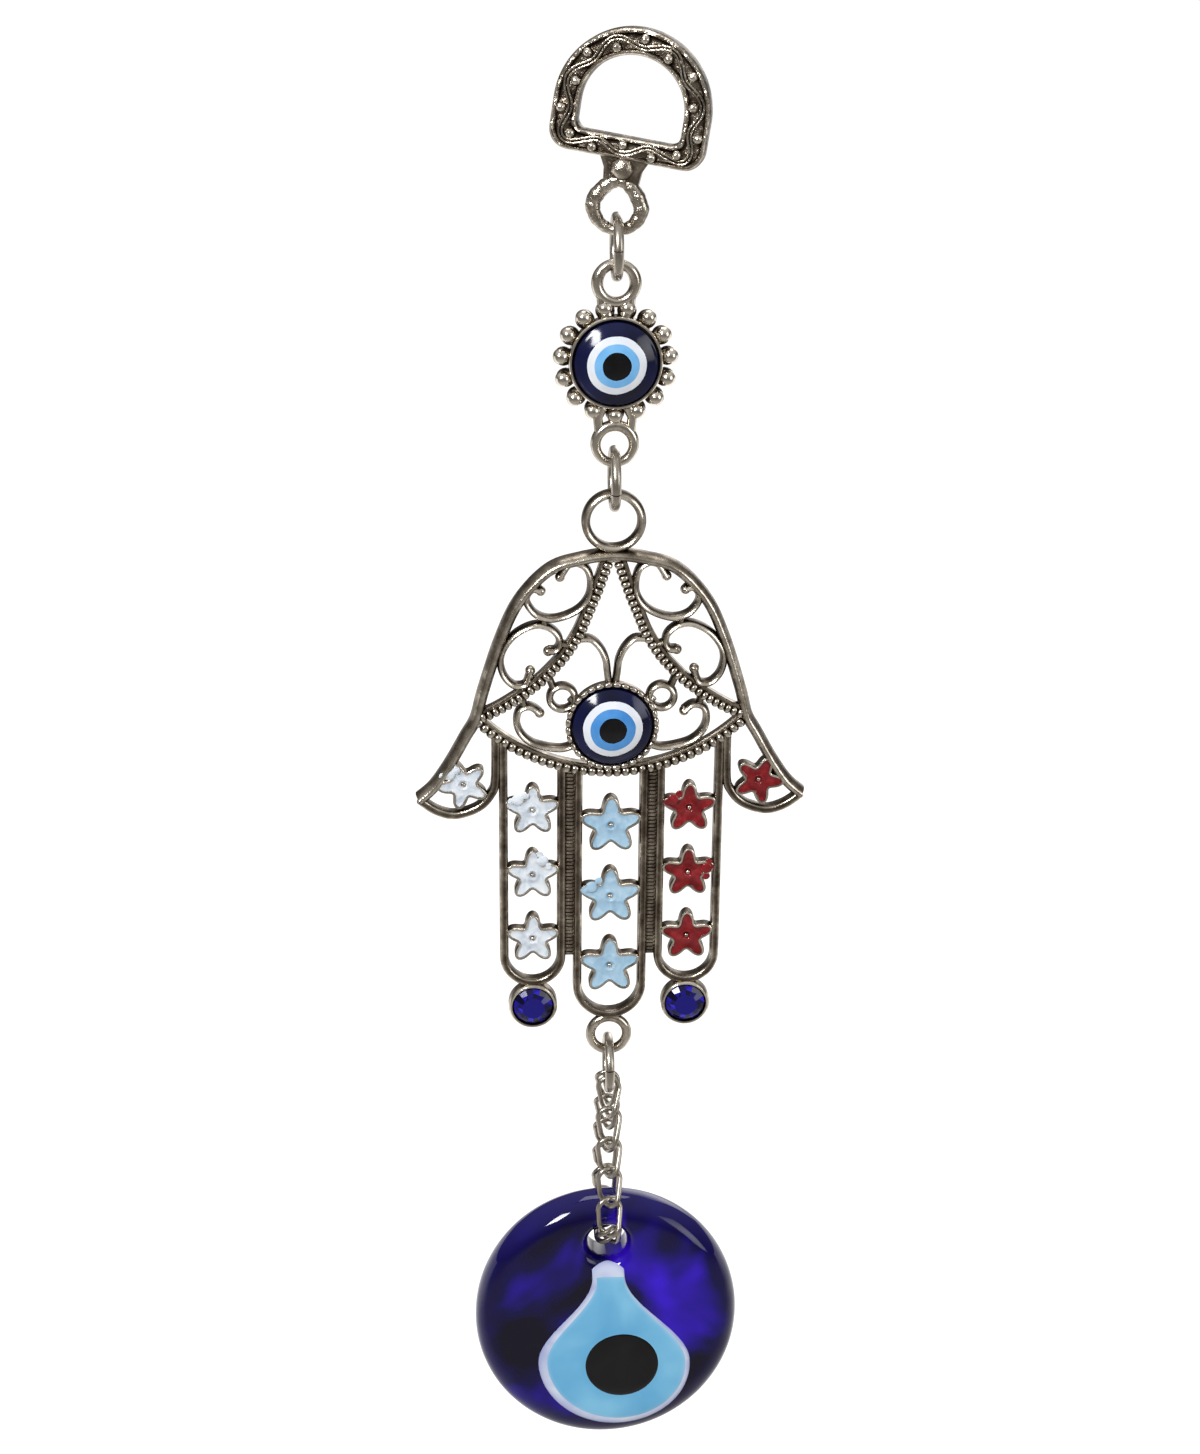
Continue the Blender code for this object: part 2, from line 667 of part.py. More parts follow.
def arch_side():
    """Right half of the outer frame: from its top, past the eye's corner, to the thumb's tip."""
    side = [palm(0.232, 0.977), palm(0.461, 0.916), palm(0.676, 0.74), palm(0.816, 0.511),
            palm(0.942, 0.209), CORNER]
    reach, drop = THUMB_TIP_X - CORNER[0], THUMB_TIP_DROP + CORNER[1]
    for u, v in ((0.18, 0.22), (0.46, 0.56), (0.74, 0.84), (1.0, 1.0)):
        side.append((CORNER[0] + u * reach, CORNER[1] - v * drop))
    return side


def thumb_foot():
    """Lower edge of a thumb, from its tip round to the beaded arc."""
    reach = THUMB_TIP_X - THUMB_ROOT
    edge = []
    for u, v in ((1.0, 0.0), (0.81, 0.65), (0.59, 1.0), (0.39, 0.87), (0.2, 0.45), (0.07, -0.25),
                 (0.01, -1.1)):
        edge.append((THUMB_ROOT + u * reach, -THUMB_TIP_DROP - v * THUMB_SAG))
    return edge + [(THUMB_ROOT, palm_arc(THUMB_ROOT))]


def finger(left, right, length):
    """Route round a finger: down the left leg, round the tip and up the right leg."""
    radius = (right - left) / 2
    tip = arc(((left + right) / 2, radius - length), radius, 180, 360, 2 * FINE)
    return [(left, palm_arc(left))] + tip + [(right, palm_arc(right))]


def star_outline(reach, turn=0.0):
    """Rounded five-pointed star whose tips lie at reach."""
    points = []
    mean, swing = (1 + STAR_WAIST) / 2 - STAR_SHARPNESS, (1 - STAR_WAIST) / 2
    for i in range(STAR_STEPS):
        angle = 2 * pi * i / STAR_STEPS
        share = mean + swing * cos(5 * angle) + STAR_SHARPNESS * cos(10 * angle)
        points.append((reach * share * sin(angle + turn), reach * share * cos(angle + turn)))
    return points


def moved(points, centre):
    """Points moved by a centre."""
    return [(x + centre[0], y + centre[1]) for x, y in points]


def star_places():
    """Name, centre, reach, turn and enamel of each star."""
    side_reach = (SIDE_OPENING / 2 + OVERLAP) / cos(STAR_TIP_RISE)
    middle_reach = (MIDDLE_OPENING / 2 + OVERLAP) / cos(STAR_TIP_RISE)
    side_run = SIDE_LENGTH - STAR_FIRST_SIDE - STAR_FROM_SIDE_TIP
    middle_run = MIDDLE_LENGTH - STAR_FIRST_MIDDLE - STAR_FROM_MIDDLE_TIP
    stars = []
    for i in range(STARS):
        side_y = -STAR_FIRST_SIDE - side_run * i / (STARS - 1)
        middle_y = -STAR_FIRST_MIDDLE - middle_run * i / (STARS - 1)
        stars.append((f"white_star_{i + 1}", (-SIDE_COLUMN, side_y), side_reach, 0.0, WHITE_ENAMEL))
        stars.append((f"blue_star_{i + 1}", (0.0, middle_y), middle_reach, 0.0, BLUE_ENAMEL))
        stars.append((f"red_star_{i + 1}", (SIDE_COLUMN, side_y), side_reach, 0.0, RED_ENAMEL))
    for side, name, enamel in ((-1, "white", WHITE_ENAMEL), (1, "red", RED_ENAMEL)):
        centre = (side * THUMB_STAR_X, -THUMB_STAR_DROP)
        stars.append((f"{name}_thumb_star", centre, THUMB_STAR_REACH, side * THUMB_STAR_TURN, enamel))
    return stars


def palm_shapes():
    """Filigree of the palm, both sides: beaded bars, scrolls each a little lower than the last,
    small rings and tabs."""
    bar = ((0.02, 1.0), (0.068, 0.884), (0.116, 0.778), (0.174, 0.664), (0.24, 0.542), (0.328, 0.428),
           (0.425, 0.337), (0.541, 0.249), (0.686, 0.165), (0.855, 0.086), (1.0, 0.04))
    routes = {
        "upper_scroll": ((0.384, 0.876), (0.324, 0.945), (0.26, 0.955), (0.19, 0.92), (0.162, 0.846),
                         (0.174, 0.766), (0.236, 0.695), (0.343, 0.648), (0.454, 0.632), (0.551, 0.656),
                         (0.614, 0.713), (0.623, 0.766), (0.58, 0.808), (0.522, 0.797)),
        "middle_scroll": ((0.469, 0.443), (0.41, 0.449), (0.385, 0.489), (0.402, 0.54), (0.473, 0.585),
                          (0.575, 0.595), (0.7, 0.548), (0.787, 0.466), (0.816, 0.382), (0.787, 0.295),
                          (0.715, 0.241), (0.638, 0.245), (0.609, 0.291), (0.599, 0.329)),
        "lower_scroll": ((0.531, 0.074), (0.599, 0.112), (0.676, 0.093), (0.7, 0.025), (0.671, -0.048),
                         (0.594, -0.105), (0.483, -0.135), (0.372, -0.146), (0.29, -0.13)),
        "brow": ((0.232, 0.51), (0.155, 0.508), (0.087, 0.454), (0.048, 0.386), (0.036, 0.317),
                 (0.024, 0.24)),
    }
    tabs = (((0.39, 0.49), (0.29, 0.465)), ((0.5, 0.635), (0.49, 0.585)), ((0.62, 0.745), (0.69, 0.75)),
            ((0.81, 0.39), (0.88, 0.4)), ((0.43, 0.22), (0.47, 0.3)), ((0.64, 0.1), (0.66, 0.18)),
            ((0.19, 0.73), (0.14, 0.71)), ((0.31, 0.16), (0.27, 0.13)))
    shapes = []
    for flip in (False, True):
        side = mirrored if flip else list
        shapes.append(beaded("beaded_bar", side([palm(u, v) for u, v in bar])))
        for i, (name, shares) in enumerate(routes.items()):
            route = even_points(side([palm(u, v) for u, v in shares]), SCROLL_STEP)
            shapes.append(band(name, route, SCROLL_WIDTH, SCROLL_DEPTH - i * SCROLL_STAGGER))
        for start, end in tabs:
            shapes.append(band("tab", side([palm(*start), palm(*end)]), SCROLL_WIDTH, TAB_DEPTH))
        ring = circle(side([palm(0.372, 0.17)])[0], SIDE_RING_RADIUS, 2 * FINE)
        shapes.append(band("side_ring", ring, SCROLL_WIDTH, SCROLL_DEPTH - CHAMFER, closed=True))
    return shapes


def finger_shapes():
    """Three fingers, the webs between them, two thumbs and the two stone cups."""
    middle = finger(-MIDDLE_LEG, MIDDLE_LEG, MIDDLE_LENGTH)
    shapes = [band("middle_finger", middle, FINGER_WIDTH, HAMSA_DEPTH - OVERLAP)]
    back = CHAMFER - HAMSA_DEPTH / 2
    left, right = MIDDLE_LEG + OVERLAP, INNER_LEG - OVERLAP
    low = SIDE_COLUMN - INNER_LEG - SIDE_LENGTH
    web = [(left, palm_arc(left)), (right, palm_arc(right)), (right, low), (left, low)]
    for flip in (False, True):
        side = mirrored if flip else list
        route = side(finger(INNER_LEG, OUTER_LEG, SIDE_LENGTH))
        shapes.append(band("side_finger", route, FINGER_WIDTH, HAMSA_DEPTH - 2 * OVERLAP))
        thumb = side(thumb_foot())
        shapes.append(band("thumb", thumb, FINGER_WIDTH, HAMSA_DEPTH - 3 * OVERLAP, smooth=True))
        shapes.append(plate("web", [side(web)], back, back + GROOVE_DEPTH))
        shapes.append(stone_cup(-SIDE_COLUMN if flip else SIDE_COLUMN))
    return shapes


STONE_CUP_RADIUS = STONE_RADIUS + GAP + STONE_CUP_WALL
STONE_DROP = SIDE_LENGTH + FINGER_WIDTH / 2 - 2 * OVERLAP + STONE_CUP_RADIUS
STONE_FLOOR = CUP_FLOOR - STONE_CUP_DEPTH / 2


def stone_cup(x):
    """Cup for a rhinestone, below a side finger."""
    back, lip = -STONE_CUP_DEPTH / 2, STONE_CUP_DEPTH / 2
    inner = STONE_RADIUS + GAP
    profile = [(0.0, STONE_FLOOR), (inner, STONE_FLOOR), (inner, lip), (STONE_CUP_RADIUS, lip)]
    profile += [(STONE_CUP_RADIUS, back), (0.0, back)]
    cup = turned("stone_cup", profile, STONE_SIDES)
    cup.data.transform(Matrix.Translation((x, -STONE_DROP, 0.0)))
    return cup


def build_hamsa():
    """The whole hand casting, its cabochon, enamels and rhinestones."""
    side = arch_side()
    arch = mirrored(side)[::-1] + [palm(0.0, 1.0)] + side
    frame = band("outer_frame", arch, FRAME_WIDTH, HAMSA_DEPTH, smooth=True)
    cup, floor, lip = bezel_cup("hamsa_cup", -HAMSA_DEPTH / 2)
    grain_steps = 2 * MILGRAIN_BEADS
    grains = circle((0.0, 0.0), CABOCHON_RADIUS + GAP + MILGRAIN_WIRE / 2, grain_steps)
    milgrain = [(x, y, lip) for x, y in grains]
    others = [cup, wire("milgrain", milgrain, MILGRAIN_WIRE, True, False, swells(grain_steps))]
    stations = [CORNER[0] * i / CURVE_STEPS for i in range(-CURVE_STEPS, CURVE_STEPS + 1)]
    others.append(beaded("beaded_arc", [(x, palm_arc(x)) for x in stations]))
    others += palm_shapes() + finger_shapes()
    recesses = []
    for name, centre, star_reach, turn, _ in star_places():
        outline = moved(star_outline(star_reach, turn), centre)
        others.append(plate("star_cup", [outline], -STAR_DEPTH / 2, STAR_DEPTH / 2))
        hollow = inset(outline, STAR_RIM)
        recesses.append(plate("recess", [hollow], STAR_FLOOR - STAR_DEPTH / 2, STAR_DEPTH))
    ring = circle((0.0, HAMSA_RING_RISE), (HAMSA_RING_BORE + HAMSA_RING_WIDTH) / 2, 4 * FINE)
    others.append(band("top_ring", ring, HAMSA_RING_WIDTH, HAMSA_RING_DEPTH, closed=True))
    others.append(loop("foot_loop", (0.0, -HAMSA_FOOT_DROP), HAMSA_FOOT_BORE))
    shape = combine(combine(frame, others, "UNION"), recesses, "DIFFERENCE")
    finish(shape, "hamsa_casting", NICKEL, hamsa_pivot, (0.0, 0.0, hamsa_centre))
    place = (0.0, -floor, hamsa_centre)
    build_cabochon("hamsa_eye", HAMSA_WHITE_RADIUS, HAMSA_IRIS_RADIUS, hamsa_pivot, place)
    build_enamels()
    build_stones()


def build_enamels():
    """One enamel fill for each star cup, dimpled in the middle."""
    low = -STAR_DEPTH / 2 + STAR_FLOOR + GAP
    high = STAR_DEPTH / 2 - STAR_FACE
    curve = (STAR_DIMPLE ** 2 + STAR_DIMPLE_DEPTH ** 2) / (2 * STAR_DIMPLE_DEPTH)
    for name, centre, reach, turn, enamel in star_places():
        fill = plate("fill", [inset(star_outline(reach, turn), STAR_RIM + GAP)], low, high)
        dimple = ball("dimple", (0.0, 0.0, high - STAR_DIMPLE_DEPTH + curve), 2 * curve)
        fill = combine(fill, [dimple], "DIFFERENCE")
        finish(fill, name, enamel, hamsa_pivot, (centre[0], 0.0, hamsa_centre + centre[1]))


def build_stones():
    """Two faceted rhinestones, each seated in its cup."""
    base = STONE_FLOOR + GAP
    girdle = base + STONE_PAVILION
    top = base + STONE_HEIGHT
    table = STONE_TABLE * STONE_RADIUS
    profile = [(0.0, top), (table, top), (STONE_RADIUS, girdle + STONE_GIRDLE)]
    profile += [(STONE_RADIUS, girdle), (table, base), (0.0, base)]
    for name, x in (("left_rhinestone", -SIDE_COLUMN), ("right_rhinestone", SIDE_COLUMN)):
        stone = turned("stone", profile, STONE_SIDES)
        finish(stone, name, SAPPHIRE, hamsa_pivot, (x, 0.0, hamsa_centre - STONE_DROP))


# Curb chain: thirteen twisted links, the middle one through the bore of the glass

LINK_LINE = LINK_LENGTH - LINK_WIRE
LINK_REST = (LINK_WIRE + GAP) / 2
SETTLING_ROUNDS = 6


def twisted_link(mean_turn):
    """Centre line of a link drawn along y, twisted evenly from end to end."""
    half_width = (LINK_WIDTH - LINK_WIRE) / 2
    straight = LINK_LINE / 2 - half_width
    flat = arc((0.0, straight), half_width, 0, 180, FINE + 1)
    flat += arc((0.0, -straight), half_width, 180, 360, FINE + 1)
    line = []
    for x, y in flat:
        turn = mean_turn - LINK_TWIST * y / (LINK_LINE / 2)
        line.append((x * cos(turn), y, x * sin(turn)))
    return line


def strand():
    """Centre and lean of the front links from the ring to the bore, and the middle link's height."""
    rise = ring_rise(STRAND_SPREAD + LINK_WIRE / 2)
    top = lower_foot + rise + (RING_WIRE + LINK_WIRE) / 2 + GAP
    pitch = LINK_LINE - 2 * LINK_REST
    bore_rest = LINK_REST / cos((pi / 2 - STRAND_LEAN) / 2) ** 2
    middle_reach = LINK_LINE / 2 - bore_rest
    lean = 0.0
    # The upper links' lean and the rest at the bend depend on each other, so they settle in rounds.
    for _ in range(SETTLING_ROUNDS):
        bend_rest = LINK_REST / cos((STRAND_LEAN + lean) / 2)
        low_step = LINK_LINE - bend_rest - bore_rest
        run = (STRAND_LINKS - 2) * pitch + LINK_LINE - LINK_REST - bend_rest
        bend = middle_reach + low_step * sin(STRAND_LEAN)
        lean = asin((bend - STRAND_SPREAD) / run)
    links = []
    for i in range(STRAND_LINKS - 1):
        along = LINK_LINE / 2 + i * pitch
        links.append((-STRAND_SPREAD - along * sin(lean), top - along * cos(lean), pi / 2 - lean))
    bend_height = top - (LINK_REST + run) * cos(lean)
    along = LINK_LINE / 2 - bend_rest
    low_y = -bend + along * sin(STRAND_LEAN)
    links.append((low_y, bend_height - along * cos(STRAND_LEAN), pi / 2 + STRAND_LEAN))
    return links, bend_height - low_step * cos(STRAND_LEAN)


def build_chain():
    """Front strand, middle link and back strand of one loop of curb chain."""
    links, middle = strand()
    route = [(y, z, lean, 0.0) for y, z, lean in links] + [(0.0, middle, pi, 0.0)]
    route += [(-y, z, lean, pi) for y, z, lean in links[::-1]]
    for i, (y, z, lean, about) in enumerate(route):
        mean_turn = LINK_TWIST * (1 - min(i, 2 * STRAND_LINKS - i) / STRAND_LINKS)
        link = wire("link", twisted_link(mean_turn), LINK_WIRE, True, False)
        name = f"chain_link_{i + 1:02d}"
        finish(link, name, STEEL_WIRE, chain_pivot, (0.0, y, z), (lean, 0.0, about))
    return middle


# Glass disc

def drop_outline():
    """Teardrop: half an ellipse below the belly, sides drawn in to a narrow neck above it."""
    right = []
    steps = 2 * FINE
    for i in range(steps + 1):
        angle = pi / 2 * i / steps
        low = -DROP_BELLY - (DROP_FOOT - DROP_BELLY) * cos(angle)
        right.append((DROP_HALF_WIDTH * sin(angle), low))
    for i in range(1, steps + 1):
        half = DROP_NECK + (DROP_HALF_WIDTH - DROP_NECK) * (1 + cos(pi * i / steps)) / 2
        right.append((half, -DROP_BELLY + i / steps * (DROP_TOP + DROP_BELLY)))
    slanted = []
    for x, y in right + mirrored(right[1:])[::-1]:
        share = (DROP_TOP - y) / (DROP_TOP + DROP_FOOT)
        slanted.append((x + DROP_SLANT * (share - DROP_SLANT_REST), y))
    return slanted


def build_disc(face, bore_rise, pocket_outline):
    """Oval disc with a rounded edge, a rounded bore and a pocket for the drop."""
    profile = [(0.0, face)]
    for i in range(EDGE_STEPS + 1):
        angle = pi / 2 - pi * i / EDGE_STEPS
        profile.append((GLASS_RADIUS - GLASS_EDGE * (1 - cos(angle)), face * sin(angle)))
    profile.append((0.0, -face))
    disc = turned("disc", profile, 2 * TURN_STEPS)
    disc.data.transform(Matrix.Scale(GLASS_HALF_HEIGHT / GLASS_RADIUS, 4, (0.0, 1.0, 0.0)))
    mouth = GLASS_BORE / 2 + GLASS_BORE_ROUND
    half = [(0.0, face + GLASS_BORE_ROUND), (mouth, face + GLASS_BORE_ROUND)]
    steps = FINE // 2
    for i in range(steps + 1):
        angle = pi / 2 * i / steps
        depth = face - GLASS_BORE_ROUND * (1 - cos(angle))
        half.append((mouth - GLASS_BORE_ROUND * sin(angle), depth))
    bore = turned("bore", half + [(r, -z) for r, z in half[::-1]])
    bore.data.transform(Matrix.Translation((0.0, bore_rise, 0.0)))
    pocket = plate("pocket", [pocket_outline], face - 2 * INLAY - GAP, face + INLAY)
    return combine(disc, [bore, pocket], "DIFFERENCE")


def build_glass(middle):
    """Cobalt disc with a white drop, a blue drop and a black pupil let into its face."""
    face = GLASS_THICKNESS / 2
    bore_rise = GLASS_HALF_HEIGHT - GLASS_BRIDGE - GLASS_BORE / 2
    bore_height = middle - BORE_SEAT
    centre = bore_height - bore_rise
    glass_pivot = pivot("glass_pivot", (0.0, 0.0, bore_height), chain_pivot)
    white = drop_outline()
    disc = build_disc(face, bore_rise, white)
    finish(disc, "glass_disc", COBALT, glass_pivot, (0.0, 0.0, centre))
    blue = [(x + DROP_BORDER_SHIFT, y) for x, y in inset(white, DROP_BORDER)]
    rim = plate("white_drop", [inset(white, GAP)], face - 2 * INLAY, face)
    well = plate("well", [blue], face - INLAY, face + INLAY)
    rim = combine(rim, [well], "DIFFERENCE")
    finish(rim, "glass_drop_white", MILK, glass_pivot, (0.0, 0.0, centre))
    eye = (GLASS_PUPIL_X, -GLASS_PUPIL_DROP)
    low = face - INLAY + GAP
    hole = circle(eye, GLASS_PUPIL_RADIUS + GAP, 4 * FINE)
    fill = plate("blue_drop", [inset(blue, GAP), hole], low, face)
    finish(fill, "glass_drop_blue", TURQUOISE, glass_pivot, (0.0, 0.0, centre))
    profile = []
    for share in (0.0, 0.5, 0.8, 1.0):
        profile.append((share * GLASS_PUPIL_RADIUS, face + GLASS_PUPIL_HEIGHT * (1 - share ** 2)))
    pupil = turned("pupil", profile + [(GLASS_PUPIL_RADIUS, low), (0.0, low)])
    finish(pupil, "glass_pupil", JET, glass_pivot, (eye[0], 0.0, centre + eye[1]))


build_hanger()
build_jump_ring("jump_ring_upper", upper_ring_pivot, upper_bar, HANGER_EYE_WIRE)
build_connector()
build_jump_ring("jump_ring_middle", middle_ring_pivot, middle_bar, LOOP_WIRE)
build_hamsa()
build_jump_ring("jump_ring_lower", lower_ring_pivot, lower_bar, LOOP_WIRE)
build_glass(build_chain())
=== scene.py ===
"""Looks of the evil eye wall hanging, made from the top down in the order it hangs.

Metres, front towards -Y, as in the CAD frame. Castings are drawn in a flat frame of their own, x to
the right, y up and z towards the viewer, and are then stood up where the frame has them.
"""

import json
from math import cos, pi, radians, sin

import bmesh
import bpy
import numpy as np
from mathutils import Euler, Matrix, Vector


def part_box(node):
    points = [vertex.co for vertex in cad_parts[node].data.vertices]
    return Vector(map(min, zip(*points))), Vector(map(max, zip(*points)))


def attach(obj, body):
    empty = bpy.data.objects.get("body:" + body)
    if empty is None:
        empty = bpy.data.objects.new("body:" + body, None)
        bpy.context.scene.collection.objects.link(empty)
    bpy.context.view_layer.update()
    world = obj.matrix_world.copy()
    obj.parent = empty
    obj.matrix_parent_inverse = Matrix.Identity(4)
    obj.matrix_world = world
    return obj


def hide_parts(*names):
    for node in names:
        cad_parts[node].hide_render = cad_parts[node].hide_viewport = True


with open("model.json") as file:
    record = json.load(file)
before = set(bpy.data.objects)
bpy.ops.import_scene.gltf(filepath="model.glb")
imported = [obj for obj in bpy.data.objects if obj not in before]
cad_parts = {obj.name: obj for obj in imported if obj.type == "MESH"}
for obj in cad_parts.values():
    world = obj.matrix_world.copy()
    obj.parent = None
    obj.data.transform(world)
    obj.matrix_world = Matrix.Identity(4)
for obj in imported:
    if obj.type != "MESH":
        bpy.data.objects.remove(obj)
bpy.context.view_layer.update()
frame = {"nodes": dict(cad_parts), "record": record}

MM = 0.001


# Hanger
# The real one is a die-cast stirrup of zinc alloy, nickel plated, darkened and wiped bright again.
# Its band has a rim on each side, a vine of two lines with a bead in each bend, and pitted ground.
# A hammered pear-shaped eye below the neck carries the first ring.

STIRRUP_HALF_WIDTH = 11.09 * MM
STIRRUP_OPENING = 7.4 * MM
STIRRUP_SHOULDER = 13.4 * MM
STIRRUP_FOOT = 6.5 * MM
STIRRUP_FOOT_BAND = 3.1 * MM
STIRRUP_CORNER = 2.8 * MM
STIRRUP_INNER_CORNER = 1.4 * MM
STIRRUP_GROUND = 0.75 * MM
STIRRUP_BEAD = 0.72 * MM
VINE_BENDS = 7
VINE_SWING = 0.72 * MM
VINE_LINE = 0.2 * MM
VINE_APART = 0.25 * MM
STIRRUP_BEAD_SWING = 0.55 * MM
STIRRUP_BEAD_RISE = 0.38 * MM
HANGER_EYE_RADIUS = 3.5 * MM
HANGER_EYE_WIRE = 0.75 * MM
# Height over the eye's centre and half width of the neck
NECK_WIDTHS = np.array([(3.1, 2.5), (5.0, 2.7), (6.6, 3.5), (8.0, 5.0)]) * MM
BOSS_RADIUS = 1.75 * MM
BOSS_PLACE = (0, 5.3 * MM, 0.75 * MM)
HANGER_TILT = radians(8.5)
HANGER_TURN = radians(-14)


def paint(code):
    """Linear RGBA of an sRGB hex colour."""
    parts = [int(code[i:i + 2], 16) / 255 for i in (1, 3, 5)]
    return [c / 12.92 if c <= 0.04045 else ((c + 0.055) / 1.055) ** 2.4 for c in parts] + [1.0]


def add_node(tree, kind, inputs=None, **settings):
    """Add a shader node, set its own settings, and give its inputs values or others' outputs."""
    node = tree.nodes.new("ShaderNode" + kind)
    for key, value in settings.items():
        setattr(node, key, value)
    for key, value in (inputs or {}).items():
        if isinstance(value, bpy.types.NodeSocket):
            tree.links.new(value, node.inputs[key])
        else:
            node.inputs[key].default_value = value
    return node


def new_finish(name):
    """An empty material, its node tree, and the place of each point on its piece."""
    made = bpy.data.materials.new(name)
    made.use_nodes = True
    tree = made.node_tree
    tree.nodes.clear()
    return made, tree, add_node(tree, "TexCoord").outputs["Object"]


def set_stops(ramp, stops):
    """Give a colour ramp its stops, each a place and a hex colour."""
    while len(ramp.color_ramp.elements) < len(stops):
        ramp.color_ramp.elements.new(1.0)
    for element, (place, code) in zip(ramp.color_ramp.elements, stops):
        element.position = place
        element.color = paint(code)


def cast_nickel(name, pit, depth, tarnish):
    """Antique nickel on a casting: near-black patina is left in hollows, and ridges are wiped to a warm
    cream shine. The wear it reads also carries painted light: the sides of wires are darker as patina
    and painted shade, the sides of balls as painted shade, the backs of the pieces lighter as painted
    light, and the hand frame's outer slope pale as a painted reflection. Pits of the mould break up
    the reflections."""
    made, tree, place = new_finish(name)
    wear = add_node(tree, "Attribute", attribute_name="wear").outputs["Fac"]
    blotches = add_node(tree, "TexNoise",
                        {"Vector": place, "Scale": 1 / (2.2 * MM), "Detail": 5.0, "Roughness": 0.62})
    centred = add_node(tree, "Math", {0: blotches.outputs["Fac"], 1: 0.5 + tarnish}, operation="SUBTRACT")
    mixed = add_node(tree, "Math", {0: centred.outputs[0], 1: 1.1, 2: wear},
                     operation="MULTIPLY_ADD", use_clamp=True)
    ramp = add_node(tree, "ValToRGB", {"Fac": mixed.outputs[0]})
    set_stops(ramp, [(0.0, "#1F1914"), (0.3, "#463D34"), (0.58, "#7F7568"), (0.82, "#BCB2A3"),
                     (1.0, "#E8E1D5")])
    rough = add_node(tree, "MapRange", {"Value": mixed.outputs[0], "To Min": 0.45, "To Max": 0.18})
    pits = add_node(tree, "TexNoise",
                    {"Vector": place, "Scale": 1 / pit, "Detail": 3.0, "Roughness": 0.7})
    bump = add_node(tree, "Bump", {"Height": pits.outputs["Fac"], "Distance": depth, "Strength": 0.8})
    shader = add_node(tree, "BsdfPrincipled",
                      {"Base Color": ramp.outputs["Color"], "Metallic": 1.0,
                       "Roughness": rough.outputs[0], "Normal": bump.outputs["Normal"]})
    add_node(tree, "OutputMaterial", {"Surface": shader.outputs[0]})
    return made


def grid_faces(copies, rows, columns, closed_rows, closed_columns):
    """Quads between neighbouring points of each copy of a grid, round past its end where closed."""
    i = np.arange(rows if closed_rows else rows - 1)[:, None]
    j = np.arange(columns if closed_columns else columns - 1)[None, :]
    below, beside = (i + 1) % rows, (j + 1) % columns
    corners = [i * columns + j, i * columns + beside, below * columns + beside, below * columns + j]
    quads = np.stack(corners, -1).reshape(1, -1, 4)
    return (quads + rows * columns * np.arange(copies)[:, None, None]).reshape(-1, 4)


FACING = np.array([[1, 0, 0], [0, 0, -1], [0, 1, 0]])


def add_object(name, data):
    """A new object with the data, put in the scene."""
    made = bpy.data.objects.new(name, data)
    bpy.context.scene.collection.objects.link(made)
    return made


def make_piece(name, body, patches, finish, centre, turn=FACING, sharp=35):
    """One object from patches, each (grid points, wear, rows closed, columns closed). The points
    are turned and moved to their centre, and doubled ones are merged, which closes poles."""
    corners, wears, quads = [], [], []
    first = 0
    for points, wear, closed_rows, closed_columns in patches:
        rows, columns = points.shape[-3:-1]
        copies = points.size // (3 * rows * columns)
        quads.append(grid_faces(copies, rows, columns, closed_rows, closed_columns) + first)
        corners.append(points.reshape(-1, 3))
        wears.append(np.broadcast_to(wear, points.shape[:-1]).reshape(-1))
        first += copies * rows * columns
    mesh = bpy.data.meshes.new(name)
    placed = np.concatenate(corners) @ np.array(turn, float).T + np.array(centre)
    mesh.from_pydata(placed, [], np.concatenate(quads).tolist())
    worn = mesh.attributes.new("wear", "FLOAT", "POINT")
    worn.data.foreach_set("value", np.concatenate(wears).astype(np.float32))
    shape = bmesh.new()
    shape.from_mesh(mesh)
    bmesh.ops.remove_doubles(shape, verts=shape.verts, dist=0.002 * MM)
    bmesh.ops.dissolve_degenerate(shape, edges=shape.edges, dist=0.001 * MM)
    bmesh.ops.recalc_face_normals(shape, faces=shape.faces)
    shape.to_mesh(mesh)
    shape.free()
    mesh.shade_smooth()
    mesh.set_sharp_from_angle(angle=radians(sharp))
    mesh.materials.append(finish)
    made = add_object(name, mesh)
    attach(made, body)
    return made


def unit(vectors):
    """The vectors, each made one long."""
    return vectors / np.linalg.norm(vectors, axis=-1, keepdims=True)


def at_height(flat, height):
    """Flat points as points in space, all at one height."""
    return np.column_stack([flat, np.full(len(flat), height)])


def to_the_right(path, closed=False):
    """Way to the right of a path's direction at each point, one long."""
    ahead = np.roll(path, -1, 0) - np.roll(path, 1, 0) if closed else np.gradient(path, axis=0)
    return unit(np.stack([ahead[:, 1], -ahead[:, 0]], -1))


def round_angles(count):
    """Even angles round a full circle, from nought."""
    return np.linspace(0, 2 * pi, count, endpoint=False)


def arc(centre, radius, start, end, count):
    """Points of an arc, angles in degrees from x towards y."""
    angle = np.radians(np.linspace(start, end, count))
    return np.stack([centre[0] + radius * np.cos(angle), centre[1] + radius * np.sin(angle)], -1)


def circle(centre, radius, count):
    """Points round a full circle, the first not repeated."""
    return arc(centre, radius, 0, 360, count + 1)[:-1]


def straight(start, end, count):
    """Points on a line, the last one left out."""
    return np.linspace(start, end, count, endpoint=False)


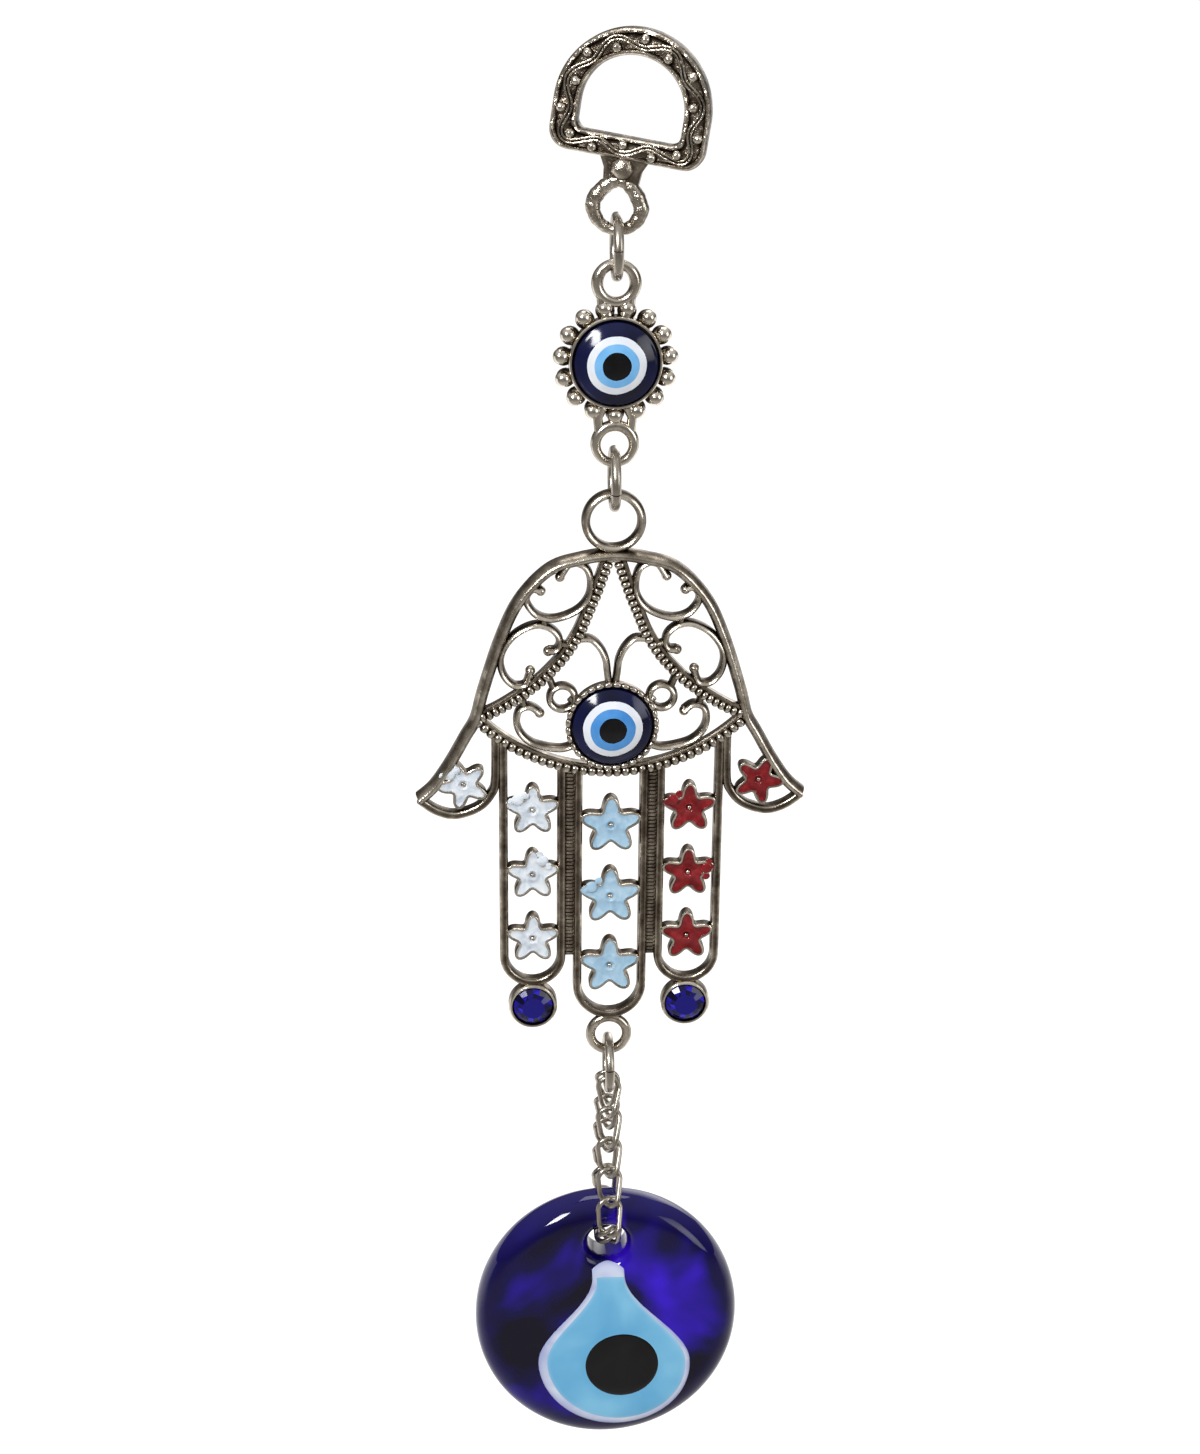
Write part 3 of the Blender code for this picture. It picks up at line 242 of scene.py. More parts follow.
def sweep(path, section, wear, swell=1.0, closed=False):
    """Section carried along a flat path: the path's point, plus u times its right-hand side, plus
    v towards the viewer, both times the swell there. Open ends are closed by a point."""
    path = np.asarray(path, float)
    if path.shape[1] == 2:
        path = at_height(path, 0.0)
    side = at_height(to_the_right(path, closed), 0.0)
    section = np.asarray(section, float)
    swell = np.broadcast_to(swell, len(path))[:, None, None]
    points = side[:, None, :] * section[None, :, :1] + np.array([0, 0, 1.0]) * section[None, :, 1:]
    points = path[:, None, :] + swell * points
    wear = np.broadcast_to(wear, points.shape[:2])
    if not closed:
        ends = [np.repeat(p.mean(0)[None, None], len(section), 1) for p in (points[0], points[-1])]
        points = np.concatenate([ends[0], points, ends[1]])
        wear = np.concatenate([wear[:1], wear, wear[-1:]])
    return points, wear, closed, True


def round_section(radius, sides=16, power=1.0):
    """Section of a wire, squarer as the power falls below 1, and its wear with painted light: bright
    at the front where it is wiped, darker at the sides as patina and painted shade, and a little
    lighter at the back as painted light.
    """
    angle = round_angles(sides)
    u, v = np.cos(angle), np.sin(angle)
    squared = [radius * np.sign(w) * np.abs(w) ** power for w in (u, v)]
    # The last term paints the back of the wire lighter, as painted light where no lamp reaches.
    wear = 0.22 + 0.7 * np.clip(v + 0.15, 0, 1) + 0.3 * np.clip(-v - 0.3, 0, 1)
    return np.stack(squared, -1), wear


def beads(centres, radius, flat=1.0, rows=10, columns=16, bright=0.9):
    """Small balls, each radius times (sin a cos b, sin a sin b, flat cos a) from its centre, worn
    bright in front, darker round their sides as painted shade, and a little lighter behind as
    painted light."""
    a = np.linspace(0, pi, rows)[:, None]
    b = round_angles(columns)[None, :]
    ball = np.stack([np.sin(a) * np.cos(b), np.sin(a) * np.sin(b), flat * np.cos(a) + 0 * b], -1)
    centres = np.asarray(centres, float).reshape(-1, 1, 1, 3)
    radius = np.broadcast_to(radius, len(centres)).reshape(-1, 1, 1, 1)
    # The darker sides of each ball are painted shade, and the lift behind is painted light.
    in_front, behind = np.clip(np.cos(a) + 0.35, 0, 1), np.clip(-np.cos(a) - 0.3, 0, 1)
    wear = 0.1 + (bright - 0.1) * in_front + 0.5 * behind + 0 * b
    return centres + radius * ball, wear, False, True


def stirrup(half_width, foot, corner):
    """Half circle on straight sides with rounded lower corners, from the right shoulder round."""
    left, right = -half_width + corner, half_width - corner
    top = STIRRUP_SHOULDER
    return np.concatenate([
        arc((0, top), half_width, 0, 180, 60)[:-1],
        straight((-half_width, top), (-half_width, foot + corner), 16),
        arc((left, foot + corner), corner, 180, 270, 12)[:-1],
        straight((left, foot), (right, foot), 40),
        arc((right, foot + corner), corner, 270, 360, 12)[:-1],
        straight((half_width, foot + corner), (half_width, top), 16)])


inner_edge = stirrup(STIRRUP_OPENING, STIRRUP_FOOT + STIRRUP_FOOT_BAND, STIRRUP_INNER_CORNER)
outer_edge = stirrup(STIRRUP_HALF_WIDTH, STIRRUP_FOOT, STIRRUP_CORNER)
across = outer_edge - inner_edge
middle_line = (inner_edge + outer_edge) / 2
steps_along = np.linalg.norm(np.roll(middle_line, -1, 0) - middle_line, axis=1)
run = np.concatenate([[0], np.cumsum(steps_along)[:-1]]) / steps_along.sum()
sideways = unit(across)

# Share across the band, height over its middle in mm, and wear; the back is given lighter wear as
# painted light
band_section = np.array([
    (0.0, -1.2, 0.5), (0.0, 0.7, 0.3), (0.03, 1.05, 0.7), (0.08, 1.28, 0.95), (0.14, 1.3, 0.9),
    (0.19, 1.12, 0.6), (0.235, 0.78, 0.15), (0.3, 0.72, 0.42), (0.4, 0.78, 0.58), (0.5, 0.82, 0.64),
    (0.6, 0.78, 0.58), (0.7, 0.72, 0.42), (0.765, 0.78, 0.15), (0.81, 1.12, 0.6), (0.86, 1.3, 0.9),
    (0.92, 1.28, 0.95), (0.97, 1.05, 0.7), (1.0, 0.7, 0.3), (1.0, -1.2, 0.5)])
share, height, band_wear = band_section.T
band_points = inner_edge[:, None] + share[:, None] * across[:, None]
# The rims and the ground are a little uneven, in 23 slow and 61 quick waves round the band
ripple = 1 + 0.06 * np.sin(2 * pi * 23 * run)[:, None] * (share > 0) * (share < 1)
ripple = ripple + 0.05 * np.sin(2 * pi * 61 * run + 1.0)[:, None] * np.cos(9 * share)
band_height = np.broadcast_to(height * MM, band_points.shape[:2]) * np.where(height > 0, ripple, 1)
hanger_patches = [(np.dstack([band_points, band_height]), band_wear, True, True)]

wave = np.sin(2 * pi * VINE_BENDS * run)[:, None]
vine = at_height(middle_line + sideways * VINE_SWING * wave, STIRRUP_GROUND + VINE_LINE)
line_section, line_wear_and_shading = round_section(VINE_LINE, 8)
for offset in (-VINE_APART, VINE_APART):
    hanger_patches.append(sweep(vine, line_section + (offset, 0), line_wear_and_shading - 0.05, closed=True))
bend_places = (np.arange(2 * VINE_BENDS) + 0.5) / (2 * VINE_BENDS)
bead_line = middle_line - STIRRUP_BEAD_SWING * sideways * wave
bead_centres = np.stack([np.interp(bend_places, run, bead_line[:, axis]) for axis in (0, 1)], -1)
bead_centres = at_height(bead_centres, STIRRUP_GROUND + STIRRUP_BEAD_RISE)
hanger_patches.append(beads(bead_centres, STIRRUP_BEAD, bright=1.0))

# The eye narrows upwards, its wire is thicker above and at its sides, and hammering left it uneven
eye_angle = round_angles(96)
eye_taper = 1 - 0.3 * np.clip(np.cos(eye_angle), 0, None)
eye_route = HANGER_EYE_RADIUS * np.stack([np.sin(eye_angle) * eye_taper, np.cos(eye_angle)], -1)
eye_swell = 1 + 0.27 * (1 + np.cos(eye_angle)) / 2 + 0.3 * np.sin(eye_angle) ** 2
eye_swell = eye_swell + 0.05 * np.sin(13 * eye_angle) + 0.03 * np.sin(29 * eye_angle + 1)
eye_section, eye_wear_and_shading = round_section(HANGER_EYE_WIRE, 18, 0.85)
hanger_patches.append(sweep(eye_route, eye_section, eye_wear_and_shading, eye_swell, closed=True))
neck_rise = np.linspace(NECK_WIDTHS[0, 0], NECK_WIDTHS[-1, 0], 14)
neck_route = np.stack([0 * neck_rise, neck_rise], -1)
neck_swell = np.interp(neck_rise, *NECK_WIDTHS.T) / MM
neck_section = np.array([(-1, -1.0), (-1, 0.35), (-0.82, 0.75), (-0.4, 0.9), (0.4, 0.9), (0.82, 0.75),
                         (1, 0.35), (1, -1.0)]) * MM
neck_side = np.stack([neck_section[:, 0], np.zeros(8)], -1)
neck_wear = (0.5, 0.55, 0.75, 0.5, 0.5, 0.75, 0.55, 0.5)
# The neck widens upwards while its depth stays, and each end closes to a point of its own
neck, *neck_finish = sweep(neck_route, neck_side, neck_wear, neck_swell)
neck[..., 2] = neck_section[:, 1]
neck[[0, -1]] = neck[[0, -1]].mean(1, keepdims=True)
hanger_patches.append((neck, *neck_finish))
hanger_patches.append(beads([BOSS_PLACE], BOSS_RADIUS, 0.7, 16, 7, 0.85))

joints = {joint["name"]: joint for joint in frame["record"]["behaviour"]["joints"]}
hanger_eye = Vector(joints["upper_ring_swing"]["pos_m"]) + Vector((0, 0, HANGER_EYE_RADIUS))
hanger_turn = Euler((pi / 2, HANGER_TILT, HANGER_TURN)).to_matrix()
hammered_nickel = cast_nickel("hammered_antique_nickel", 0.9 * MM, 0.24 * MM, 0.04)
hanger = make_piece("hanger_stirrup", "hanger", hanger_patches, hammered_nickel, hanger_eye,
                    hanger_turn)
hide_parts("hanger")


# Jump rings
# Three open rings of drawn steel wire, nickel plated, wound, cut and closed with pliers, which
# leaves a thin cut at the front and slightly flattened wire. Each hangs edge-on to the viewer.

RING_RADIUS = 4.15 * MM
RING_WIRE = 0.75 * MM
RING_CUT = 0.14 * MM
EDGE_ON = np.array([[0, 0, 1], [1, 0, 0], [0, 1, 0]])


def drawn_wire(name, spot):
    """Plated drawn wire: a smooth bright grey with soft rub marks on it and a brown tinge of
    tarnish where wear hasn't kept it clean."""
    made, tree, place = new_finish(name)
    wear = add_node(tree, "Attribute", attribute_name="wear").outputs["Fac"]
    tinge = add_node(tree, "TexNoise",
                     {"Vector": place, "Scale": 1 / spot, "Detail": 4.0, "Roughness": 0.55})
    mixed = add_node(tree, "Math", {0: tinge.outputs["Fac"], 1: 0.75, 2: wear},
                     operation="MULTIPLY_ADD", use_clamp=True)
    lowered = add_node(tree, "Math", {0: mixed.outputs[0], 1: 0.38}, operation="SUBTRACT", use_clamp=True)
    ramp = add_node(tree, "ValToRGB", {"Fac": lowered.outputs[0]})
    set_stops(ramp, [(0.0, "#3A342D"), (0.35, "#857D72"), (0.7, "#BFB8AD"), (1.0, "#E8E3DB")])
    rough = add_node(tree, "MapRange", {"Value": tinge.outputs["Fac"], "To Min": 0.4, "To Max": 0.22})
    rubs = add_node(tree, "TexNoise", {"Vector": place, "Scale": 1 / (0.35 * MM), "Detail": 2.0})
    bump = add_node(tree, "Bump",
                    {"Height": rubs.outputs["Fac"], "Distance": 0.02 * MM, "Strength": 0.6})
    shader = add_node(tree, "BsdfPrincipled",
                      {"Base Color": ramp.outputs["Color"], "Metallic": 1.0,
                       "Roughness": rough.outputs[0], "Normal": bump.outputs["Normal"]})
    add_node(tree, "OutputMaterial", {"Surface": shader.outputs[0]})
    return made


def node_centre(node):
    """Middle of a node's box at rest."""
    low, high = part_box(node)
    return (Vector(low) + Vector(high)) / 2


plated_wire = drawn_wire("nickel_plated_drawn_wire", 1.6 * MM)
ring_section, _ = round_section(RING_WIRE, 20, 0.92)
ring_wear = 0.55 + 0.35 * np.abs(np.linspace(-1, 1, 20))
half_cut = np.degrees(RING_CUT / RING_RADIUS) / 2
for level, cut_at in (("upper", 178), ("middle", 196), ("lower", 170)):
    node = f"jump_ring_{level}"
    ring_route = arc((0, 0), RING_RADIUS, cut_at + half_cut, cut_at + 360 - half_cut, 121)
    ring = make_piece(f"{node}_wire", f"{level}_ring", [sweep(ring_route, ring_section, ring_wear)],
                      plated_wire, node_centre(node), EDGE_ON, 50)
    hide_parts(node)


# Eye connector
# A die-cast charm: a bezel cup ringed with fifteen bright balls, a loop above and a horseshoe loop
# below, nickel plated and darkened in its hollows.

CUP_INSIDE = 6.3 * MM
CUP_OUTSIDE = 6.8 * MM
CUP_FLOOR = 0.8 * MM
CABOCHON_SEAT = 1.5 * MM
FIT = 0.3 * MM
CONNECTOR_BACK = -1.1 * MM
CONNECTOR_LIP = CONNECTOR_BACK + CUP_FLOOR + CABOCHON_SEAT
BALL_CIRCLE = 7.917 * MM
BALL_RADIUS = 1.2 * MM
PAD_CIRCLE = 7.527 * MM
PAD_RADIUS = 1.42 * MM
PAD_SUNK = 0.45 * MM
BALLS = 15
TOP_LOOP_RISE = 11.4 * MM
TOP_LOOP_RADIUS = 2.75 * MM
FOOT_LOOP_DROP = 12.2 * MM
FOOT_LOOP_RADIUS = 2.8 * MM
LOOP_WIRE = 0.76 * MM
# Routes in mm, with their swell, of the shoulder below the cup and the cheek above it
CONNECTOR_ARMS = ((((1.9, -6.7), (2.5, -8.2), (2.3, -10.4)), (1.1, 0.95, 0.9)),
                  (((1.3, 6.7), (1.9, 8.2), (2.2, 9.8)), (1.3, 1.1, 0.9)))


def turned(profile, wear, wobble=0.0, closed=False):
    """Profile (radius, height) turned about an axis towards the viewer; an open profile starts and
    ends on the axis. The wobble is the share by which each radius strays from its circle."""
    around = round_angles(120)[:, None]
    radius, height = np.asarray(profile, float).T
    stray = np.sin(2 * around + 0.7) + 0.6 * np.sin(3 * around + 2.1) + 0.35 * np.sin(7 * around)
    reach = radius * (1 + wobble * stray)
    points = np.stack([reach * np.cos(around), reach * np.sin(around), height + 0 * around], -1)
    return points, wear, True, closed


def cup_patch(back, lip):
    """Bezel cup from its back over a rolled bright lip to its floor."""
    floor = back + CUP_FLOOR
    wall = CUP_OUTSIDE - CUP_INSIDE
    profile = [(0, back), (CUP_OUTSIDE - 0.3 * MM, back), (CUP_OUTSIDE, back + 0.3 * MM),
               (CUP_OUTSIDE, lip - 0.25 * MM), (CUP_OUTSIDE - 0.1 * wall, lip - 0.1 * MM),
               (CUP_OUTSIDE - 0.35 * wall, lip), (CUP_INSIDE + 0.25 * wall, lip),
               (CUP_INSIDE, lip - 0.12 * MM), (CUP_INSIDE, floor), (0, floor)]
    # The back of the cup is given lighter wear, as painted light.
    return turned(profile, (0.55, 0.5, 0.3, 0.6, 0.95, 1.0, 1.0, 0.8, 0.1, 0.1))


ball_angle = -pi / 2 + 2 * pi * np.arange(BALLS) / BALLS
ball_ways = np.stack([np.cos(ball_angle), np.sin(ball_angle), 0 * ball_angle], -1)
connector_patches = [cup_patch(CONNECTOR_BACK, CONNECTOR_LIP),
                     beads(BALL_CIRCLE * ball_ways, BALL_RADIUS, 1.0, 16, 28, 1.0),
                     beads(PAD_CIRCLE * ball_ways - (0, 0, PAD_SUNK), PAD_RADIUS, 0.8, 12, 20, 0.3)]
loop_section, loop_wear_and_shading = round_section(LOOP_WIRE, 18)
top_loop = circle((0, TOP_LOOP_RISE), TOP_LOOP_RADIUS, 72)
top_swell = 1 + 0.14 * np.cos(round_angles(72)) ** 2
connector_patches.append(sweep(top_loop, loop_section, loop_wear_and_shading, top_swell, closed=True))
foot_loop = circle((0, -FOOT_LOOP_DROP), FOOT_LOOP_RADIUS, 72)
foot_swell = 1 + 0.12 * np.sin(round_angles(72))
connector_patches.append(sweep(foot_loop, loop_section, loop_wear_and_shading, foot_swell, closed=True))
for side in (-1, 1):
    for route, swell in CONNECTOR_ARMS:
        route = np.array(route) * (side * MM, MM)
        connector_patches.append(sweep(route, loop_section, loop_wear_and_shading, swell))

connector_centre = Vector((0, 0, node_centre("connector_eye_navy").z))
charm_nickel = cast_nickel("wiped_antique_nickel", 0.9 * MM, 0.03 * MM, -0.1)
connector = make_piece("connector_casting", "connector", connector_patches, charm_nickel,
                       connector_centre)
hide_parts("eye_connector")


# Eye cabochons
# Each is one domed resin cabochon of 12 mm, poured in four colours that meet flush on the dome and
# run together a little at their edges: navy, white, blue and black. It is glued into its cup.

CABOCHON_RADIUS = 6.0 * MM
CABOCHON_DOME = 1.9 * MM
LAYER_DEPTH = 0.9 * MM
LAYER_SEAM = 0.012 * MM
PUPIL_RADIUS = 2.05 * MM
EYE_WOBBLE = 0.012


def poured_resin(name, dark, light, cloud):
    """Poured polyester resin: an even body colour with faint clouds from the pour, and a very
    glossy skin."""
    made, tree, place = new_finish(name)
    clouds = add_node(tree, "TexNoise",
                      {"Vector": place, "Scale": 1 / cloud, "Detail": 3.0, "Roughness": 0.5})
    spread = add_node(tree, "MapRange",
                      {"Value": clouds.outputs["Fac"], "From Min": 0.25, "From Max": 0.75})
    ramp = add_node(tree, "ValToRGB", {"Fac": spread.outputs[0]})
    set_stops(ramp, [(0.0, dark), (1.0, light)])
    waves = add_node(tree, "TexNoise", {"Vector": place, "Scale": 1 / (3.5 * MM)})
    bump = add_node(tree, "Bump",
                    {"Height": waves.outputs["Fac"], "Distance": 0.02 * MM, "Strength": 0.1})
    shader = add_node(tree, "BsdfPrincipled",
                      {"Base Color": ramp.outputs["Color"], "Roughness": 0.11, "IOR": 1.5,
                       "Specular IOR Level": 0.35, "Normal": bump.outputs["Normal"]})
    add_node(tree, "OutputMaterial", {"Surface": shader.outputs[0]})
    return made


def dome(radius, rim):
    """Height of the domed face: the rim's, plus the dome times one less the radius share squared."""
    return rim + CABOCHON_DOME * (1 - (radius / CABOCHON_RADIUS) ** 2)


def layer_patch(inner, outer, rim, depth):
    """One colour of the cabochon: its part of the dome with a wall down each side."""
    across_face = np.linspace(inner, outer, 14)
    top = np.stack([across_face, dome(across_face, rim)], -1)
    foot = [(outer, dome(outer, rim) - depth), (inner, dome(inner, rim) - depth)]
    profile = np.concatenate([top, foot])
    # Only the seams between colours stray: the cabochon's own edge is moulded and stays round
    wobble = np.where(profile[:, 0] < CABOCHON_RADIUS * 0.95, EYE_WOBBLE, 0.0)
    return turned(profile, 1.0, wobble, closed=True)


eye_navy = poured_resin("navy_poured_resin", "#060818", "#131948", 5 * MM)
eye_white = poured_resin("white_poured_resin", "#DCE3EE", "#F0F3F7", 4 * MM)
eye_black = poured_resin("black_poured_resin", "#08080A", "#17171A", 2 * MM)
eye_sky = poured_resin("sky_poured_resin", "#67ACE6", "#86C2F2", 3 * MM)
eye_blue = poured_resin("azure_poured_resin", "#3F83CC", "#5C9EDF", 3 * MM)
# Body, centre, back of its cup, radii of the white and of the iris, and the iris's resin
eyes = (("connector", connector_centre, CONNECTOR_BACK, 4.25 * MM, 3.2 * MM, eye_sky),
        ("hamsa", Vector((0, 0, node_centre("hamsa_eye_navy").z)), -1.2 * MM, 4.5 * MM, 3.4 * MM,
         eye_blue))
for body, centre, back, white_radius, iris_radius, iris_resin in eyes:
    rim = back + CUP_FLOOR + FIT + CABOCHON_SEAT
    layers = (("navy", white_radius, CABOCHON_RADIUS, eye_navy, "navy_resin"),
              ("white", iris_radius, white_radius, eye_white, "white_resin"),
              ("iris", PUPIL_RADIUS, iris_radius, iris_resin, "sky_resin"),
              ("pupil", 0.0, PUPIL_RADIUS, eye_black, "black_resin"))
    for layer, inner, outer, resin, resin_slot in layers:
        seam = LAYER_SEAM if inner else 0.0
        patch = layer_patch(inner + seam, outer, rim, LAYER_DEPTH)
        resin_layer = make_piece(f"{body}_eye_{layer}_resin", body, [patch], resin, centre, sharp=50)
        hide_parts(f"{body}_eye_{layer}")


# Hamsa
# One open-work casting of zinc alloy, nickel plated, darkened and wiped: a bevelled outer frame,
# beaded bars, scrolls with ball tips, the eye's cup with its milgrain, three fingers joined by
# ribbed webs, two thumbs, eleven star cups, two stone cups, a ring at the wrist and a foot loop.

PALM_HALF_WIDTH = 20.7 * MM
PALM_HEIGHT = 26.9 * MM
PALM_FOOT = 7.775 * MM
FINGER_WIDTH = 1.35 * MM
MIDDLE_OPENING = 8.8 * MM
SIDE_OPENING = 7.6 * MM
GROOVE = 1.2 * MM
MIDDLE_LENGTH = 49.4 * MM
SIDE_LENGTH = 43.5 * MM
THUMB_TIP = np.array([29.4, -11.9]) * MM
THUMB_SAG = 2.6 * MM
HAMSA_BACK = -1.2 * MM
HAMSA_LIP = HAMSA_BACK + CUP_FLOOR + CABOCHON_SEAT
HAMSA_RING_RADIUS = 4.15 * MM
HAMSA_RING_RISE = PALM_HEIGHT + 5.2 * MM
HAMSA_FOOT_RADIUS = 2.9 * MM
HAMSA_FOOT_DROP = MIDDLE_LENGTH + 3.775 * MM
MILGRAIN_BEADS = 32
BEAD_PITCH = 1.05 * MM
ARC_BEAD_PITCH = 1.3 * MM
BEADED_WIRE = 0.8 * MM
STONE_RADIUS = 3.15 * MM
STONE_CUP_INSIDE = STONE_RADIUS + FIT
STONE_CUP_OUTSIDE = STONE_CUP_INSIDE + 0.4 * MM
STONE_CUP_FACE = 1.25 * MM
STONE_DROP = SIDE_LENGTH + 4.025 * MM
BEADING_RISE = 0.22 * MM
BEADING_LEDGE = 0.85 * MM
ARC_LEDGE = 0.8 * MM
SCROLL_WIDTH = 1.1 * MM
SCROLL_DEPTH = 1.9 * MM
SCROLL_TIP = 0.78 * MM
TAB_DEPTH = 1.3 * MM
RINGLET_RADIUS = 1.9 * MM
RINGLET_DEPTH = 1.6 * MM
MILGRAIN_CIRCLE = CUP_INSIDE + 0.42 * MM
MILGRAIN_RADIUS = 0.45 * MM
MIDDLE_DEPTH = 2.15 * MM
SIDE_DEPTH = 1.9 * MM
THUMB_DEPTH = 1.75 * MM
RIB_PITCH = 0.62 * MM
RIB_HEIGHT = 0.3 * MM
HAMSA_RING_WIDTH = 1.3 * MM
HAMSA_RING_DEPTH = 1.8 * MM

palm_size = np.array([PALM_HALF_WIDTH, PALM_HEIGHT])
corner = palm_size * (1.0, 0.04)
arc_rise = PALM_FOOT + corner[1]
arc_radius = (corner[0] ** 2 + arc_rise ** 2) / (2 * arc_rise)
middle_leg = (MIDDLE_OPENING + FINGER_WIDTH) / 2
inner_leg = middle_leg + FINGER_WIDTH + GROOVE
outer_leg = inner_leg + FINGER_WIDTH + SIDE_OPENING
side_column = (inner_leg + outer_leg) / 2
thumb_root = outer_leg + FINGER_WIDTH - 0.25 * MM


def palm_arc(x):
    """Height at x of the beaded arc under the palm, part of a circle."""
    return -PALM_FOOT + arc_radius - np.sqrt(arc_radius ** 2 - x ** 2)


def smooth_line(points, pitch):
    """Points about a pitch apart on the smooth cubic through the given ones: b + t(c - a)/2 + ...
    for each four neighbours a, b, c and d."""
    points = np.asarray(points, float)
    a, b, c, d = (np.concatenate([points[:1], points, points[-1:]])[i:len(points) - 1 + i]
                  for i in range(4))
    t = np.linspace(0, 1, 24, endpoint=False)[None, :, None]
    a, b, c, d = (p[:, None, :] for p in (a, b, c, d))
    line = b + t * (c - a + t * (2 * a - 5 * b + 4 * c - d + t * (3 * b - a - 3 * c + d))) / 2
    line = np.concatenate([line.reshape(-1, 2), points[-1:]])
    walked = np.concatenate([[0], np.cumsum(np.linalg.norm(np.diff(line, axis=0), axis=1))])
    count = max(2, round(walked[-1] / pitch))
    stations = np.linspace(0, walked[-1], count + 1)
    return np.column_stack([np.interp(stations, walked, line[:, axis]) for axis in (0, 1)])


def shifted(path, by):
    """A flat path moved sideways by an even distance, to the right of its direction."""
    return path + by * to_the_right(path)


def beaded_bar(points, pitch, radius, ledge):
    """Row of square-shouldered beads: the radius swells and narrows as a sine to the power 0.6,
    six stations to a bead, beside a low smooth ledge."""
    line = smooth_line(points, pitch / 6)
    beat = np.abs(np.sin(pi * np.arange(len(line)) / 6))
    swell = 0.55 + 0.45 * beat ** 0.6
    section, wear = round_section(radius, 16, 0.8)
    raised = at_height(line, BEADING_RISE)
    bead_wear_and_shading = wear[None, :] * (0.1 + 1.1 * beat[:, None] ** 1.2)
    low = np.array([(-0.38, -1.0), (-0.38, 0.25), (-0.2, 0.42), (0.2, 0.42), (0.38, 0.25),
                    (0.38, -1.0)])
    rail = sweep(shifted(line[::3], ledge), low * MM, (0.45, 0.6, 0.75, 0.6, 0.4, 0.45))
    return [sweep(raised, section, bead_wear_and_shading, swell), rail]


def flipped(points, side):
    """The points, or their mirror image on the other side of the hand."""
    return np.asarray(points, float) * (side, 1)


# Width share, height share and wear of a scroll, whose top line is worn bright and also painted as
# a highlight, and whose sides are darker as patina and painted shade
scroll_shape = np.array([(-1, -1, 0.5), (-1, 0.1, 0.12), (-0.84, 0.5, 0.35), (-0.42, 0.88, 0.85),
                         (0, 1, 1.0), (0.42, 0.88, 0.85), (0.84, 0.5, 0.35), (1, 0.1, 0.12),
                         (1, -1, 0.5)])


def scroll_bar(path, width, depth, closed=False, swell=1.0, dim=0.0):
    """Rounded bar of a width and depth along a path, with its wear."""
    section = scroll_shape[:, :2] * (width / 2, depth / 2)
    return sweep(path, section, np.clip(scroll_shape[:, 2] - dim, 0, 1), swell, closed)


# Points of the arch, bars, scrolls and tabs are shares of the palm's half width and height, and
# those of the thumb's edge are shares of the way from the palm's corner to the thumb's tip
arch = [(0.232, 0.977), (0.461, 0.916), (0.676, 0.74), (0.816, 0.511), (0.942, 0.209)]
thumb_way = np.array([(0.0, 0.0), (0.18, 0.22), (0.46, 0.56), (0.74, 0.84), (1.0, 1.0)])
thumb_edge = corner + thumb_way * (THUMB_TIP - corner)
right_side = np.concatenate([palm_size * arch, thumb_edge])
whole_arch = np.concatenate([flipped(right_side, -1)[::-1], [(0, PALM_HEIGHT)], right_side])
arch_line = smooth_line(whole_arch, 0.6 * MM)
# Distance inwards in mm, height in mm and wear, here painted light: the outer slope is painted pale
# as a reflection, the ridge bright as a painted highlight, and the inner face dark as a painted dark
# reflection
frame_shape = np.array([
    (-0.9, -1.2, 0.5), (-0.9, -0.25, 0.5), (-0.68, 0.45, 0.62), (-0.35, 0.95, 0.8), (-0.05, 1.17, 1.0),
    (0.22, 1.2, 1.0), (0.5, 1.05, 0.7), (0.78, 0.6, 0.18), (0.9, 0.1, 0.08), (0.9, -1.2, 0.45)])
frame_patches = [sweep(arch_line, frame_shape[:, :2] * MM, frame_shape[:, 2])]

bar_shares = ((0.02, 1.0), (0.068, 0.884), (0.116, 0.778), (0.174, 0.664), (0.24, 0.542),
              (0.328, 0.428), (0.425, 0.337), (0.541, 0.249), (0.686, 0.165), (0.855, 0.086),
              (1.0, 0.04))
scroll_shares = (
    ((0.384, 0.876), (0.324, 0.945), (0.26, 0.955), (0.19, 0.92), (0.162, 0.846), (0.174, 0.766),
     (0.236, 0.695), (0.343, 0.648), (0.454, 0.632), (0.551, 0.656), (0.614, 0.713), (0.623, 0.766),
     (0.58, 0.808), (0.522, 0.797)),
    ((0.469, 0.443), (0.41, 0.449), (0.385, 0.489), (0.402, 0.54), (0.473, 0.585), (0.575, 0.595),
     (0.7, 0.548), (0.787, 0.466), (0.816, 0.382), (0.787, 0.295), (0.715, 0.241), (0.638, 0.245),
     (0.609, 0.291), (0.599, 0.329)),
    ((0.531, 0.074), (0.599, 0.112), (0.676, 0.093), (0.7, 0.025), (0.671, -0.048), (0.594, -0.105),
     (0.483, -0.135), (0.372, -0.146), (0.29, -0.13)),
    ((0.232, 0.51), (0.155, 0.508), (0.087, 0.454), (0.048, 0.386), (0.036, 0.317), (0.024, 0.24)))
curled_ends = ((True, True), (True, True), (True, False), (False, False))
tab_shares = (((0.39, 0.49), (0.29, 0.465)), ((0.5, 0.635), (0.49, 0.585)),
              ((0.62, 0.745), (0.69, 0.75)), ((0.81, 0.39), (0.88, 0.4)),
              ((0.43, 0.22), (0.47, 0.3)), ((0.64, 0.1), (0.66, 0.18)),
              ((0.19, 0.73), (0.14, 0.71)), ((0.31, 0.16), (0.27, 0.13)))
beading_patches, filigree_patches = [], []
